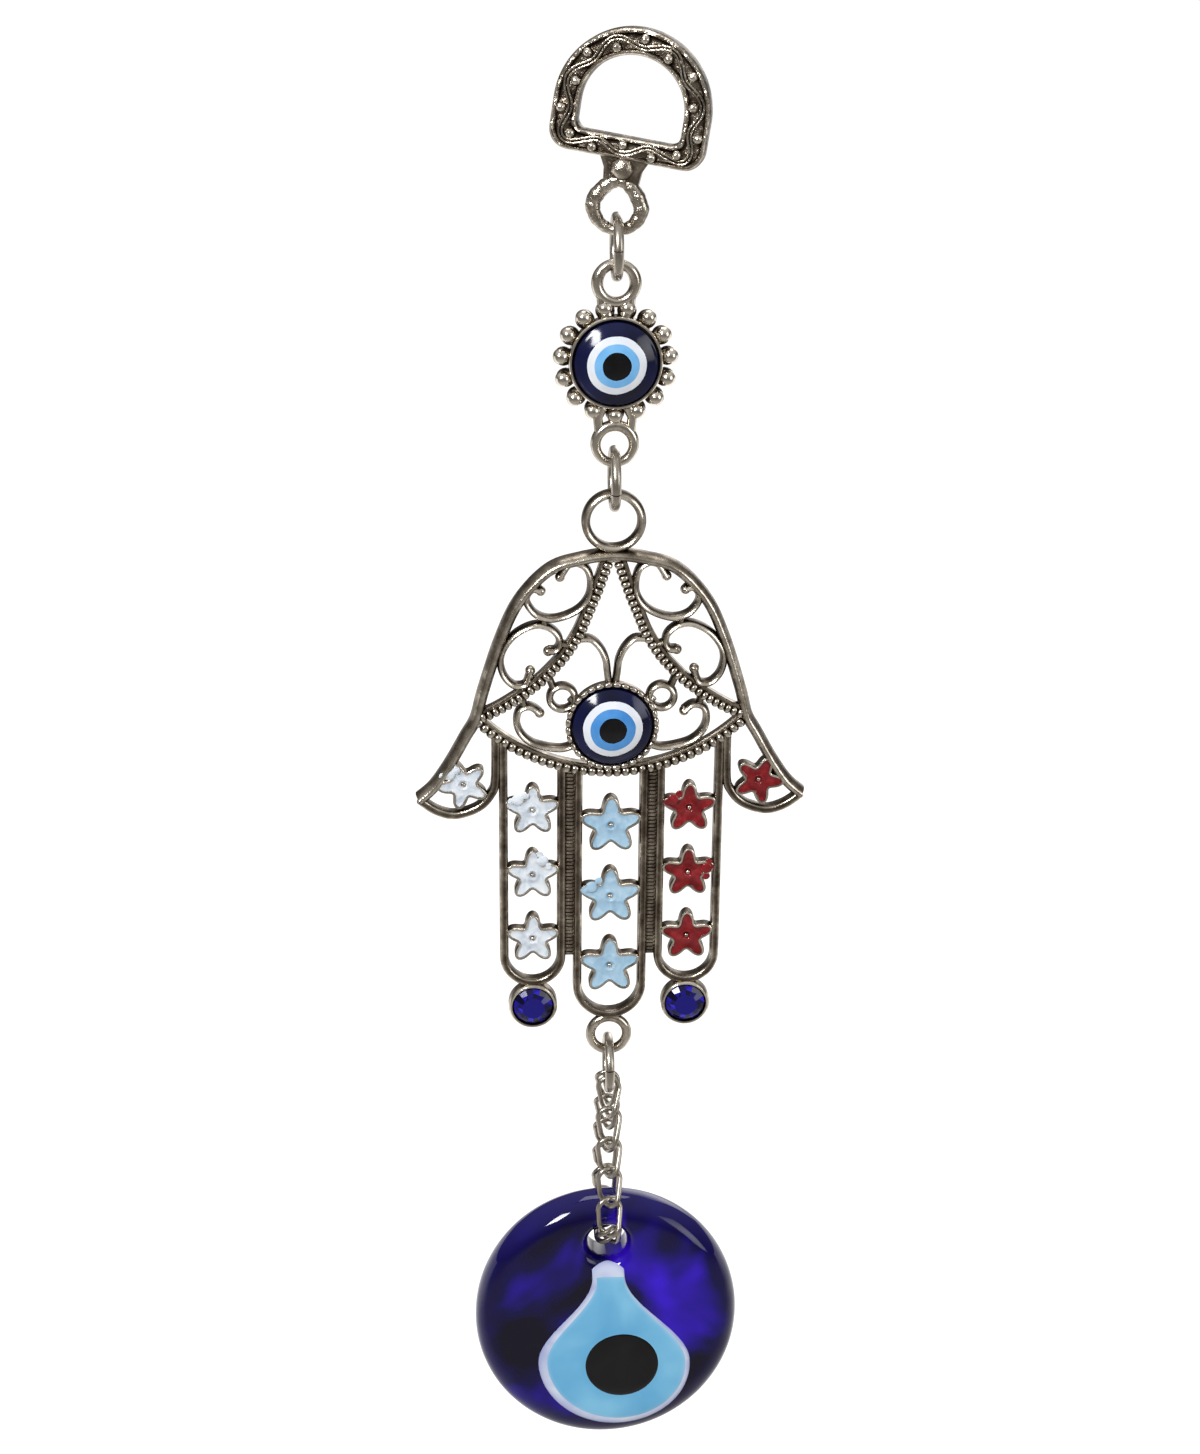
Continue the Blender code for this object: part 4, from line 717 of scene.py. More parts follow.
for side in (-1, 1):
    bar_points = flipped(palm_size * bar_shares, side)
    beading_patches += beaded_bar(bar_points, BEAD_PITCH, BEADED_WIRE, -BEADING_LEDGE * side)
    for shares, (first_curls, last_curls) in zip(scroll_shares, curled_ends):
        line = smooth_line(flipped(palm_size * shares, side), 0.4 * MM)
        from_ends = np.minimum(np.arange(len(line)) if first_curls else 99,
                               np.arange(len(line))[::-1] if last_curls else 99)
        slim = 1.1 - 0.1 * np.clip(from_ends / 8, 0, 1)
        filigree_patches.append(scroll_bar(line, SCROLL_WIDTH, SCROLL_DEPTH, swell=slim))
        for curls, tip in ((first_curls, line[0]), (last_curls, line[-1])):
            if curls:
                filigree_patches.append(beads([(*tip, 0.0)], SCROLL_TIP, 1.22, 12, 20, 0.8))
    for start, end in tab_shares:
        line = np.linspace(flipped(palm_size * start, side), flipped(palm_size * end, side), 6)
        filigree_patches.append(scroll_bar(line, SCROLL_WIDTH, TAB_DEPTH, dim=0.25))
    ring_line = circle(flipped(palm_size * (0.365, 0.162), side), RINGLET_RADIUS, 48)
    filigree_patches.append(scroll_bar(ring_line, SCROLL_WIDTH, RINGLET_DEPTH, True))

across_palm = np.linspace(-corner[0], corner[0], 25)
arc_points = np.stack([across_palm, palm_arc(across_palm)], -1)
beading_patches += beaded_bar(arc_points, ARC_BEAD_PITCH, BEADED_WIRE, -ARC_LEDGE)

eye_cup_patches = [cup_patch(HAMSA_BACK, HAMSA_LIP)]
grain_angle = round_angles(12 * MILGRAIN_BEADS)
grain_beat = np.abs(np.sin(MILGRAIN_BEADS * grain_angle / 2))
grain_route = at_height(circle((0, 0), MILGRAIN_CIRCLE, 12 * MILGRAIN_BEADS), HAMSA_LIP)
grain_section, grain_wear_and_shading = round_section(MILGRAIN_RADIUS, 12)
grain_wear_and_shading = grain_wear_and_shading * (0.3 + 0.9 * grain_beat[:, None])
grain_swell = 0.5 + 0.5 * grain_beat ** 0.6
eye_cup_patches.append(sweep(grain_route, grain_section, grain_wear_and_shading, grain_swell, True))


def finger_route(left, right, length):
    """Down the left leg, round the tip as half a circle and up the right leg."""
    radius = (right - left) / 2
    tip = arc(((left + right) / 2, radius - length), radius, 180, 360, 33)
    down = straight((left, palm_arc(left)), tip[0], 50)
    up = np.linspace(tip[-1], (right, palm_arc(right)), 51)[1:]
    return np.concatenate([down, tip, up])


# Width share, height share and wear of a finger's leg: a rounded face, worn brightest near its edges
leg_shape = np.array([(-1, -1, 0.5), (-1, 0.35, 0.35), (-0.86, 0.72, 0.7), (-0.6, 0.93, 0.92),
                      (-0.2, 1.0, 0.62), (0.2, 1.0, 0.5), (0.6, 0.93, 0.85), (0.86, 0.72, 0.62),
                      (1, 0.35, 0.3), (1, -1, 0.5)])


def leg_bar(path, depth):
    """Finger or thumb wire along its route."""
    return sweep(path, leg_shape[:, :2] * (FINGER_WIDTH / 2, depth / 2), leg_shape[:, 2])


thumb_shares = ((1.0, 0.0), (0.81, 0.65), (0.59, 1.0), (0.39, 0.87), (0.2, 0.45), (0.07, -0.25),
                (0.01, -1.1))
thumb_points = [(thumb_root + u * (THUMB_TIP[0] - thumb_root), THUMB_TIP[1] - v * THUMB_SAG)
                for u, v in thumb_shares] + [(thumb_root, palm_arc(thumb_root))]
finger_patches = [leg_bar(finger_route(-middle_leg, middle_leg, MIDDLE_LENGTH), MIDDLE_DEPTH)]
web_foot = side_column - inner_leg - SIDE_LENGTH
web_rows = np.linspace(web_foot, palm_arc(middle_leg) + 0.2 * MM, 520)
web_ribs = np.abs(np.sin(pi * (web_rows - web_foot) / RIB_PITCH)) ** 0.6
web_middle, web_half = (middle_leg + inner_leg) / 2, (inner_leg - middle_leg) / 2
# Width share, plain height in mm, part of the rib's height, and wear across a web; the back's wear
# is lifted as painted light
web_shape = np.array([(-1, -0.9, 0, 0.45), (-1, 0.25, 0, 0.1), (-0.6, 0.1, 0.6, 0.15),
                      (-0.25, 0.05, 1, 0.3), (0.25, 0.05, 1, 0.3), (0.6, 0.1, 0.6, 0.15),
                      (1, 0.25, 0, 0.1), (1, -0.9, 0, 0.45)])
for side in (-1, 1):
    side_route = flipped(finger_route(inner_leg, outer_leg, SIDE_LENGTH), side)
    finger_patches.append(leg_bar(side_route, SIDE_DEPTH))
    thumb_line = smooth_line(flipped(thumb_points, side), 0.5 * MM)
    finger_patches.append(leg_bar(thumb_line, THUMB_DEPTH))
    web_x = side * (web_middle + web_half * web_shape[:, 0])
    web_z = web_shape[:, 1] * MM + RIB_HEIGHT * web_shape[:, 2] * web_ribs[:, None]
    web_grid = np.stack([web_x + 0 * web_z, web_rows[:, None] + 0 * web_z, web_z], -1)
    web_grid[[0, -1]] = web_grid[[0, -1]].mean(1, keepdims=True)
    web_wear = web_shape[:, 3] + 0.5 * web_shape[:, 2] * web_ribs[:, None] ** 2
    finger_patches.append((web_grid, web_wear, False, True))
wrist_ring = circle((0, HAMSA_RING_RISE), HAMSA_RING_RADIUS, 96)
loop_patches = [scroll_bar(wrist_ring, HAMSA_RING_WIDTH, HAMSA_RING_DEPTH, True)]
foot_ring = circle((0, -HAMSA_FOOT_DROP), HAMSA_FOOT_RADIUS, 72)
loop_patches.append(sweep(foot_ring, loop_section, loop_wear_and_shading, closed=True))
# Radius and height of a stone's cup, from the middle of its back over its lip to its floor
outside, inside = STONE_CUP_OUTSIDE, STONE_CUP_INSIDE
stone_cup_profile = [(0, -STONE_CUP_FACE), (outside - 0.35 * MM, -STONE_CUP_FACE),
                     (outside, -STONE_CUP_FACE + 0.4 * MM), (outside, 0.85 * MM),
                     (outside - 0.12 * MM, 1.12 * MM), (outside - 0.28 * MM, 1.25 * MM),
                     (inside - 0.12 * MM, 1.2 * MM), (inside, 1.0 * MM), (inside, -0.45 * MM),
                     (0, -0.45 * MM)]
# The back of each stone cup is given lighter wear, as painted light.
stone_cup = turned(stone_cup_profile, (0.55, 0.5, 0.35, 0.6, 0.85, 1.0, 1.0, 0.5, 0.1, 0.1))
for side in (-1, 1):
    moved_cup = stone_cup[0] + np.array([side * side_column, -STONE_DROP, 0])
    loop_patches.append((moved_cup, *stone_cup[1:]))

hamsa_centre = Vector((0, 0, node_centre("hamsa_eye_navy").z))
frame_nickel = cast_nickel("filed_antique_nickel", 0.7 * MM, 0.05 * MM, 0.06)
hand_nickel = cast_nickel("open_work_antique_nickel", 0.8 * MM, 0.035 * MM, -0.02)
finger_nickel = cast_nickel("grained_antique_nickel", 0.45 * MM, 0.05 * MM, 0.06)
for name, patches, nickel in (("hamsa_frame", frame_patches, frame_nickel),
                              ("hamsa_beading", beading_patches, hand_nickel),
                              ("hamsa_filigree", filigree_patches, hand_nickel),
                              ("hamsa_eye_cup", eye_cup_patches, charm_nickel),
                              ("hamsa_fingers", finger_patches, finger_nickel),
                              ("hamsa_loops_and_stone_cups", loop_patches, hand_nickel)):
    part_of_hand = make_piece(name, "hamsa", patches, nickel, hamsa_centre)
    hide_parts("hamsa_casting")


# Star cups and their enamel
# Eleven cups of the hand casting with a thin raised rim, filled by hand with soft enamel that
# shrank as it cured: it climbs to the rim, dips in the middle round the cup's centre pip, and
# spills over the rim of some stars.

STAR_RIM = 0.44 * MM
STAR_FACE = 1.0 * MM
STAR_FLOOR = -0.4 * MM
ENAMEL_FACE = 0.62 * MM
STAR_TIP_RISE = radians(18)
THUMB_STAR_REACH = 4.0 * MM
THUMB_STAR_TURN = radians(24)
THUMB_STAR_PLACE = (22.7 * MM, -9.4 * MM)
SIDE_STAR_FIRST = 13.9 * MM
SIDE_STAR_LAST = SIDE_LENGTH - 7.7 * MM
MIDDLE_STAR_FIRST = 16.6 * MM
MIDDLE_STAR_LAST = MIDDLE_LENGTH - 8.6 * MM
STAR_IN_LEG = 0.25 * MM
PIP_RADIUS = 0.38 * MM
PIP_SUNK = 0.12 * MM
ENAMEL_CLIMB = 0.16 * MM
ENAMEL_DIP = 0.26 * MM
ENAMEL_RING = 0.17 * MM
SPILL_RISE = 0.42 * MM
SPILL_SUNK = 0.15 * MM
# Spots of a spill, as shares of the star's reach outwards and to the left of that, and their radii
SPILL_SPOTS = np.array([(0.7, 0.0), (0.84, 0.2), (0.6, -0.3)])
SPILL_RADII = np.array([0.95, 0.6, 0.65]) * MM


def star_outline(reach, turn):
    """Rounded five-pointed star: the radius is the mean plus a swing of cos 5a, less a little of
    cos 10a, with the angle counted from the top tip."""
    angle = round_angles(120)
    radius = reach * (0.79 + 0.217 * np.cos(5 * angle) - 0.007 * np.cos(10 * angle))
    return np.stack([radius * np.sin(angle + turn), radius * np.cos(angle + turn)], -1)


def drawn_in(outline, by):
    """Closed clockwise outline moved inwards by an even distance."""
    return outline + by * to_the_right(outline, True)


def star_cup(outline, centre):
    """Cup with a rounded rim: from the middle of its back, out, over the rim and to its floor."""
    # The back of each star cup is given lighter wear, as painted light.
    stops = ((outline * 0, -STAR_FACE, 0.5), (drawn_in(outline, 0.15 * MM), -STAR_FACE, 0.5),
             (outline, -STAR_FACE + 0.2 * MM, 0.25), (outline, STAR_FACE - 0.2 * MM, 0.45),
             (drawn_in(outline, 0.08 * MM), STAR_FACE - 0.04 * MM, 0.95),
             (drawn_in(outline, 0.16 * MM), STAR_FACE, 1.0),
             (drawn_in(outline, STAR_RIM - 0.06 * MM), STAR_FACE - 0.04 * MM, 0.95),
             (drawn_in(outline, STAR_RIM), STAR_FACE - 0.2 * MM, 0.5),
             (drawn_in(outline, STAR_RIM), STAR_FLOOR, 0.1), (outline * 0, STAR_FLOOR, 0.1))
    grid = np.stack([at_height(xy + centre, z) for xy, z, _ in stops], 1)
    return grid, np.array([wear for _, _, wear in stops]), True, False


def enamel_patch(outline, centre, spill):
    """Enamel fill: shares of the outline from the middle out. Its face rises to the rim as the
    sixth power of the share, and dips round the pip as a flat bell curve inside a low ring. On the
    side of a spill it rises as the cube of the share and bulges out by up to a tenth."""
    share = np.array([0, 0.05, 0.1, 0.14, 0.18, 0.23, 0.3, 0.4, 0.52, 0.65, 0.78, 0.88, 0.95, 1.0])
    edge = drawn_in(outline, STAR_RIM - 0.02 * MM)
    reach = np.linalg.norm(edge, axis=1)[:, None] * share
    face = ENAMEL_FACE + ENAMEL_CLIMB * share ** 6 - ENAMEL_DIP * np.exp(-(reach / (0.55 * MM)) ** 4)
    face = face + ENAMEL_RING * np.exp(-((reach - 0.82 * MM) / (0.22 * MM)) ** 2)
    flow = np.zeros((len(edge), 1))
    if spill is not None:
        toward = edge @ np.array([cos(spill), sin(spill)])
        flow = np.clip(toward / np.abs(toward).max(), 0, 1)[:, None] ** 3
    face = face + flow * SPILL_RISE * share ** 3
    bulge = 1 + 0.1 * flow[..., None] * share[:, None]
    top = np.concatenate([edge[:, None] * share[:, None] * bulge, face[..., None]], -1)
    wall = [at_height(edge * inwards, STAR_FLOOR + 0.1 * MM) for inwards in (0.999, 0)]
    grid = np.concatenate([top, np.stack(wall, 1)], 1) + np.array([*centre, 0])
    return grid, 1.0, True, False


def soft_enamel(name, shade, body_colour, thin):
    """Soft enamel: opaque glossy paint, a little paler and thinner where it lies in streaks, with
    a wavy poured surface."""
    made, tree, place = new_finish(name)
    streaks = add_node(tree, "TexNoise",
                       {"Vector": place, "Scale": 1 / (1.7 * MM), "Detail": 4.0, "Distortion": 0.6})
    ramp = add_node(tree, "ValToRGB", {"Fac": streaks.outputs["Fac"]})
    set_stops(ramp, [(0.3, shade), (0.52, body_colour), (0.72, thin)])
    waves = add_node(tree, "TexNoise", {"Vector": place, "Scale": 1 / (1.1 * MM), "Detail": 1.0})
    bump = add_node(tree, "Bump",
                    {"Height": waves.outputs["Fac"], "Distance": 0.05 * MM, "Strength": 0.3})
    shader = add_node(tree, "BsdfPrincipled",
                      {"Base Color": ramp.outputs["Color"], "Roughness": 0.12, "IOR": 1.5,
                       "Normal": bump.outputs["Normal"]})
    add_node(tree, "OutputMaterial", {"Surface": shader.outputs[0]})
    return made


enamels = {"white": soft_enamel("white_soft_enamel", "#B9C4D2", "#DCE5EF", "#EEF3F8"),
           "blue": soft_enamel("light_blue_soft_enamel", "#93B8D4", "#A8CAE2", "#BCDAEE"),
           "red": soft_enamel("red_soft_enamel", "#620E13", "#7C171D", "#98282E")}
side_reach = (SIDE_OPENING / 2 + STAR_IN_LEG) / cos(STAR_TIP_RISE)
middle_reach = (MIDDLE_OPENING / 2 + STAR_IN_LEG) / cos(STAR_TIP_RISE)
side_rows = np.linspace(SIDE_STAR_FIRST, SIDE_STAR_LAST, 3)
middle_rows = np.linspace(MIDDLE_STAR_FIRST, MIDDLE_STAR_LAST, 3)
stars = []
for number, (side_y, middle_y) in enumerate(zip(side_rows, middle_rows), 1):
    stars.append((f"white_star_{number}", (-side_column, -side_y), side_reach, 0.0, "white"))
    stars.append((f"blue_star_{number}", (0.0, -middle_y), middle_reach, 0.0, "blue"))
    stars.append((f"red_star_{number}", (side_column, -side_y), side_reach, 0.0, "red"))
stars.append(("white_thumb_star", (-THUMB_STAR_PLACE[0], THUMB_STAR_PLACE[1]), THUMB_STAR_REACH,
              -THUMB_STAR_TURN, "white"))
stars.append(("red_thumb_star", THUMB_STAR_PLACE, THUMB_STAR_REACH, THUMB_STAR_TURN, "red"))
spills = {"white_star_2": radians(60), "blue_star_2": radians(150), "red_star_1": radians(150),
          "red_star_2": radians(15), "white_star_1": radians(140), "white_thumb_star": radians(140)}
cup_patches = []
for node, centre, reach, turn, enamel in stars:
    outline = star_outline(reach, turn)
    cup_patches.append(star_cup(outline, np.array(centre)))
    fills = [enamel_patch(outline, centre, spills.get(node))]
    if node in spills:
        out_way = np.array([cos(spills[node]), sin(spills[node])])
        aside = np.array([-out_way[1], out_way[0]])
        spots = np.array(centre) + reach * (SPILL_SPOTS[:, :1] * out_way + SPILL_SPOTS[:, 1:] * aside)
        fills.append(beads(at_height(spots, STAR_FACE - SPILL_SUNK), SPILL_RADII, 0.3, 10, 20))
    fill = make_piece(f"{node}_enamel", "hamsa", fills, enamels[enamel], hamsa_centre, sharp=60)
    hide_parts(node)
star_centres = [(*centre, ENAMEL_FACE - PIP_SUNK) for _, centre, _, _, _ in stars]
cup_patches.append(beads(star_centres, PIP_RADIUS, 0.8, 8, 14, 0.9))
star_cups = make_piece("hamsa_star_cups", "hamsa", cup_patches, hand_nickel, hamsa_centre)
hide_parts("hamsa_casting")


# Rhinestones
# Two machine-cut glass chatons of deep blue with foiled backs, glued in their cups. The foil sends
# the light back through the facets, so some flash a bright violet blue while others stay dark.

STONE_BASE = -0.15 * MM
STONE_GIRDLE_HEIGHT = 0.75 * MM
STONE_GIRDLE = 0.3 * MM
STONE_TOP = 1.85 * MM
STONE_SIDES = 16
CROWN_LEVEL = 4
CROWN_LIFT = 0.14 * MM


def foiled_glass(name):
    """Foiled cut glass: a dark blue body, with a bright violet painted on some facets as a painted
    reflection, and a mirror gloss.
    """
    made, tree, place = new_finish(name)
    # Each facet's tilt picks its colour from the ramp, so its sparkle is a painted reflection.
    normal = add_node(tree, "NewGeometry").outputs["True Normal"]
    aslant = add_node(tree, "VectorMath", {0: normal, 1: (3.1, 2.3, 4.7), 2: place},
                      operation="MULTIPLY_ADD")
    flash = add_node(tree, "TexNoise", {"Vector": aslant.outputs[0], "Scale": 2.4, "Detail": 1.0})
    ramp = add_node(tree, "ValToRGB", {"Fac": flash.outputs["Fac"]})
    set_stops(ramp, [(0.36, "#030218"), (0.52, "#090450"), (0.62, "#160AA4"), (0.74, "#3A2CF0")])
    shader = add_node(tree, "BsdfPrincipled",
                      {"Base Color": ramp.outputs["Color"], "Metallic": 0.5, "Roughness": 0.1,
                       "IOR": 1.6, "Coat Weight": 0.2, "Coat Roughness": 0.05})
    add_node(tree, "OutputMaterial", {"Surface": shader.outputs[0]})
    return made


def cut_stone(centre):
    """Chaton: rings of sixteen points from the back point over the girdle to the table. Every other
    point of the crown's ring is drawn in and lifted, so that its quads fold into kites."""
    around = round_angles(STONE_SIDES)
    every_other = np.arange(STONE_SIDES) % 2
    rings_up = ((0.0, STONE_BASE), (0.5, STONE_BASE + 0.15 * MM), (0.985, STONE_GIRDLE_HEIGHT),
                (0.985, STONE_GIRDLE_HEIGHT + STONE_GIRDLE), (0.8, STONE_TOP - 0.42 * MM),
                (0.56, STONE_TOP), (0.0, STONE_TOP))
    grid = []
    for level, (share, height) in enumerate(rings_up):
        folded = every_other * (level == CROWN_LEVEL)
        radius = STONE_RADIUS * share * (1 - 0.07 * folded)
        lifted = height + CROWN_LIFT * folded
        grid.append(np.stack([radius * np.cos(around), radius * np.sin(around), lifted], -1))
    return np.stack(grid) + np.array(centre), 1.0, False, True


sapphire_foil = foiled_glass("foiled_sapphire_glass")
for node, side in (("left_rhinestone", -1), ("right_rhinestone", 1)):
    patch = cut_stone((side * side_column, -STONE_DROP, 0))
    stone = make_piece(f"{node}_cut", "hamsa", [patch], sapphire_foil, hamsa_centre, sharp=2)
    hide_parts(node)


# Curb chain
# One loop of thirteen twisted links of drawn, plated wire, hung over the last ring and through the
# glass. Each link is an oval bent from wire and twisted so that it lies flat against the next.

LINK_WIRE = 0.44 * MM
RUBBED_WIRE = 0.4 * MM
LINK_LENGTH = 6.35 * MM
LINK_WIDTH = 3.55 * MM
LINK_TWIST = radians(38)


def link_patch(corners, wire):
    """Twisted link in the place of a CAD link: its long axis and the mean plane of its width are
    the main directions of the solid's points. At height y the oval is turned by minus the twist
    times twice y over the length, and a nearly round section follows it."""
    middle = corners.mean(0)
    _, _, axes = np.linalg.svd(corners - middle, full_matrices=False)
    axes[2] = np.cross(axes[1], axes[0])
    half_width = LINK_WIDTH / 2
    level = LINK_LENGTH / 2 - half_width
    flat = np.concatenate([arc((0, level), half_width, 0, 180, 25),
                           arc((0, -level), half_width, 180, 360, 25)])
    turn = -LINK_TWIST * flat[:, 1] / (LINK_LENGTH / 2)
    line = np.stack([flat[:, 0] * np.cos(turn), flat[:, 1], flat[:, 0] * np.sin(turn)], -1)
    ahead = unit(np.roll(line, -1, 0) - np.roll(line, 1, 0))
    outward = np.stack([-np.sin(turn), 0 * turn, np.cos(turn)], -1)
    beside = unit(np.cross(ahead, outward))
    outward = np.cross(beside, ahead)
    angle = round_angles(14)[None, :, None]
    ring = np.cos(angle) * beside[:, None] + 0.9 * np.sin(angle) * outward[:, None]
    placed = (line[:, None] + wire * ring) @ axes[[1, 0, 2]] + middle
    return placed, 0.3 + 0.5 * np.abs(np.sin(angle[..., 0])), True, True


chain_wire = drawn_wire("tarnished_chain_wire", 1.1 * MM)
chain_nodes = sorted(node for node in frame["nodes"] if node.startswith("chain_link"))
# The two links at the lower ring are of thinner wire, rubbed down, which keeps them clear of it
for node in chain_nodes:
    solid = frame["nodes"][node].data
    corners = np.empty(3 * len(solid.vertices))
    solid.vertices.foreach_get("co", corners)
    corners = np.unique(np.round(corners.reshape(-1, 3), 7), axis=0)
    wire = RUBBED_WIRE if node in (chain_nodes[0], chain_nodes[-1]) else LINK_WIRE
    link = make_piece(f"{node}_wire", "chain", [link_patch(corners, wire)], chain_wire, (0, 0, 0),
                      np.eye(3), 60)
    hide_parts(node)


# Glass disc
# Hand-made furnace glass: a gather of cobalt glass pressed to a thick oval disc and pierced while
# hot, with a white drop, a blue drop and a black dot laid on its face and fused in. Every edge is
# fire-rounded and the face is uneven, so its reflections bend.

DISC_HALF_WIDTH = 21.8 * MM
DISC_HALF_HEIGHT = 23.3 * MM
DISC_FACE = 4.0 * MM
DISC_EDGE = 8.0 * MM
BORE_RADIUS = 3.2 * MM
BORE_ROUND = 2.6 * MM
BORE_BRIDGE = 5.0 * MM
DROP_TOP = 9.5 * MM
DROP_CROWN = 10.7 * MM
DROP_FOOT = 20.2 * MM
DROP_BELLY = 7.6 * MM
DROP_HALF_WIDTH = 12.8 * MM
DROP_NECK = 2.7 * MM
DROP_SLANT = 2.0 * MM
DROP_BORDER = 0.8 * MM
DROP_SHIFT = 0.6 * MM
BLUE_TOP = 10.0 * MM
BLUE_SHIFT = np.array([0.3, 0.1]) * MM
BLUE_SOFTNESS = 0.6 * MM
DISC_PUPIL = (2.5 * MM, -8.0 * MM)
DISC_PUPIL_RADIUS = 6.45 * MM


def furnace_glass(name, stops, rim_colour, streak, uneven, see_through):
    """Furnace glass: colour lies in swirling clouds from the gather, which in the cobalt also carry
    painted glow: its bright violet patches stand for light passing through the glass. The colour turns
    to another at the rim, where the wear is nought, under a fire-polished skin with slow waves in it."""
    made, tree, place = new_finish(name)
    inside = add_node(tree, "Attribute", attribute_name="wear").outputs["Fac"]
    swirls_and_painted_glow = add_node(tree, "TexNoise",
                      {"Vector": place, "Scale": 1 / streak, "Detail": 2.0, "Roughness": 0.45,
                       "Distortion": 0.5})
    ramp = add_node(tree, "ValToRGB", {"Fac": swirls_and_painted_glow.outputs["Fac"]})
    set_stops(ramp, stops)
    colour = add_node(tree, "Mix", {0: inside, 6: paint(rim_colour), 7: ramp.outputs["Color"]},
                      data_type="RGBA")
    waves = add_node(tree, "TexNoise", {"Vector": place, "Scale": 1 / (7 * MM), "Detail": 1.0})
    bump = add_node(tree, "Bump", {"Height": waves.outputs["Fac"], "Distance": uneven, "Strength": 0.7})
    shader = add_node(tree, "BsdfPrincipled",
                      {"Base Color": colour.outputs[2], "Roughness": 0.03, "IOR": 1.5,
                       "Specular IOR Level": 0.35, "Transmission Weight": see_through,
                       "Normal": bump.outputs["Normal"]})
    add_node(tree, "OutputMaterial", {"Surface": shader.outputs[0]})
    return made


disc_centre = Vector((0, 0, node_centre("glass_disc").z))
bore_rise = DISC_HALF_HEIGHT - BORE_BRIDGE - BORE_RADIUS


def edge_reach(way):
    """Distance from the bore's centre to the oval edge on a way out: the positive root of the
    oval's equation along that way."""
    quadratic = (np.cos(way) / DISC_HALF_WIDTH) ** 2 + (np.sin(way) / DISC_HALF_HEIGHT) ** 2
    linear = bore_rise * np.sin(way) / DISC_HALF_HEIGHT ** 2
    rest = (bore_rise / DISC_HALF_HEIGHT) ** 2 - 1
    return (-linear + np.sqrt(linear ** 2 - quadratic * rest)) / quadratic


def disc_height(x, y):
    """Height of the disc's face: it falls as a quarter circle to the bore and as a quarter of a
    squared oval to the edge, and a soft minimum joins the two where they meet above the bore."""
    out = np.hypot(x, y - bore_rise)
    from_edge = edge_reach(np.arctan2(y - bore_rise, x)) - out
    near_bore = np.clip((BORE_RADIUS + BORE_ROUND - out) / BORE_ROUND, 0, 1)
    near_edge = np.clip((DISC_EDGE - from_edge) / DISC_EDGE, 0, 1)
    bore_fall = DISC_FACE - BORE_ROUND * (1 - np.sqrt(1 - near_bore ** 2))
    edge_fall = DISC_FACE * np.clip(1 - near_edge ** 3, 0, 1) ** 0.45
    blend = 0.25 * MM
    lower = -blend * np.log(np.exp(-bore_fall / blend) + np.exp(-edge_fall / blend))
    return np.clip(lower + 0.69 * blend * lower / DISC_FACE, 0, DISC_FACE)


way = round_angles(240)[:, None]
out = BORE_RADIUS + (edge_reach(way) - BORE_RADIUS) * (1 - np.cos(np.linspace(0, pi, 64))) / 2
disc_x, disc_y = out * np.cos(way), bore_rise + out * np.sin(way)
disc_z = disc_height(disc_x, disc_y)
front = np.stack([disc_x, disc_y, disc_z], -1)
back = np.stack([disc_x, disc_y, -disc_z], -1)[:, ::-1]
depth_in = np.clip((edge_reach(way) - out) / (5 * MM), 0, 1) ** 0.7
disc_points = np.concatenate([front, back], 1)
disc_patch = (disc_points, np.concatenate([depth_in, depth_in[:, ::-1]], 1), True, True)
# The cobalt's dark stops are its own colour; its bright violet stops are painted glow of light passing
# through.
cobalt_colour_and_painted_glow = [(0.38, "#06031C"), (0.48, "#0D0648"), (0.56, "#240C92"), (0.68, "#3A12D6")]
cobalt = furnace_glass("cobalt_furnace_glass", cobalt_colour_and_painted_glow, "#120958", 15 * MM, 0.35 * MM, 0.08)
disc = make_piece("glass_disc_gather", "glass", [disc_patch], cobalt, disc_centre, sharp=75)
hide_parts("glass_disc")


def drop_outline():
    """Teardrop, clockwise up its left side and down its right: half an ellipse below the belly,
    sides that draw in to the neck as half a cosine wave, and a low round crown over a short
    straight neck, all moved and slanted a little."""
    low_angle = np.linspace(0, pi / 2, 36)
    rise = np.linspace(0, 1, 48)[1:]
    half = DROP_NECK + (DROP_HALF_WIDTH - DROP_NECK) * (1 + np.cos(pi * rise)) / 2
    cap = np.linspace(0, pi / 2, 12)[1:]
    x = np.concatenate([DROP_HALF_WIDTH * np.sin(low_angle), half, DROP_NECK * np.cos(cap)])
    y = np.concatenate([-DROP_BELLY - (DROP_FOOT - DROP_BELLY) * np.cos(low_angle),
                        -DROP_BELLY + rise * (DROP_TOP + DROP_BELLY),
                        DROP_CROWN + 0.4 * DROP_NECK * np.sin(cap)])
    right = np.stack([x, y], -1)
    left = (right * (-1, 1))[1:-1]
    closed = np.concatenate([left, right[::-1]])
    share = (DROP_TOP - closed[:, 1]) / (DROP_TOP + DROP_FOOT)
    return closed + np.stack([DROP_SHIFT + DROP_SLANT * (share - 0.25), 0 * share], -1)


def fused_layer(outline, centre, lift, crown, soft):
    """Glass laid on and fused: shares of the outline from its centre, lifted off the disc's own
    face, domed as one less the square of the share, and run down into the disc at its edge."""
    share = np.array([0, 0.12, 0.25, 0.38, 0.5, 0.6, 0.68, 0.75, 0.81, 0.86, 0.9, 0.93, 0.955, 0.975,
                      0.99, 1.0])
    flat = centre + (outline[:, None] - centre) * share[:, None]
    raised = lift * (1 - share ** 24) + crown * (1 - share ** 2) - 0.5 * MM * (share == 1)
    height = disc_height(flat[..., 0], flat[..., 1]) + raised
    top = np.concatenate([flat, height[..., None]], -1)
    middle = np.broadcast_to(centre, outline.shape)
    base = [at_height(edge, DISC_FACE - 2.6 * MM) for edge in (outline, middle)]
    fade = np.append(1 - soft * np.clip((share - 0.9) / 0.1, 0, 1) ** 2, (0, 0))
    return np.concatenate([top, np.stack(base, 1)], 1), fade, True, False


white_outline = drop_outline()
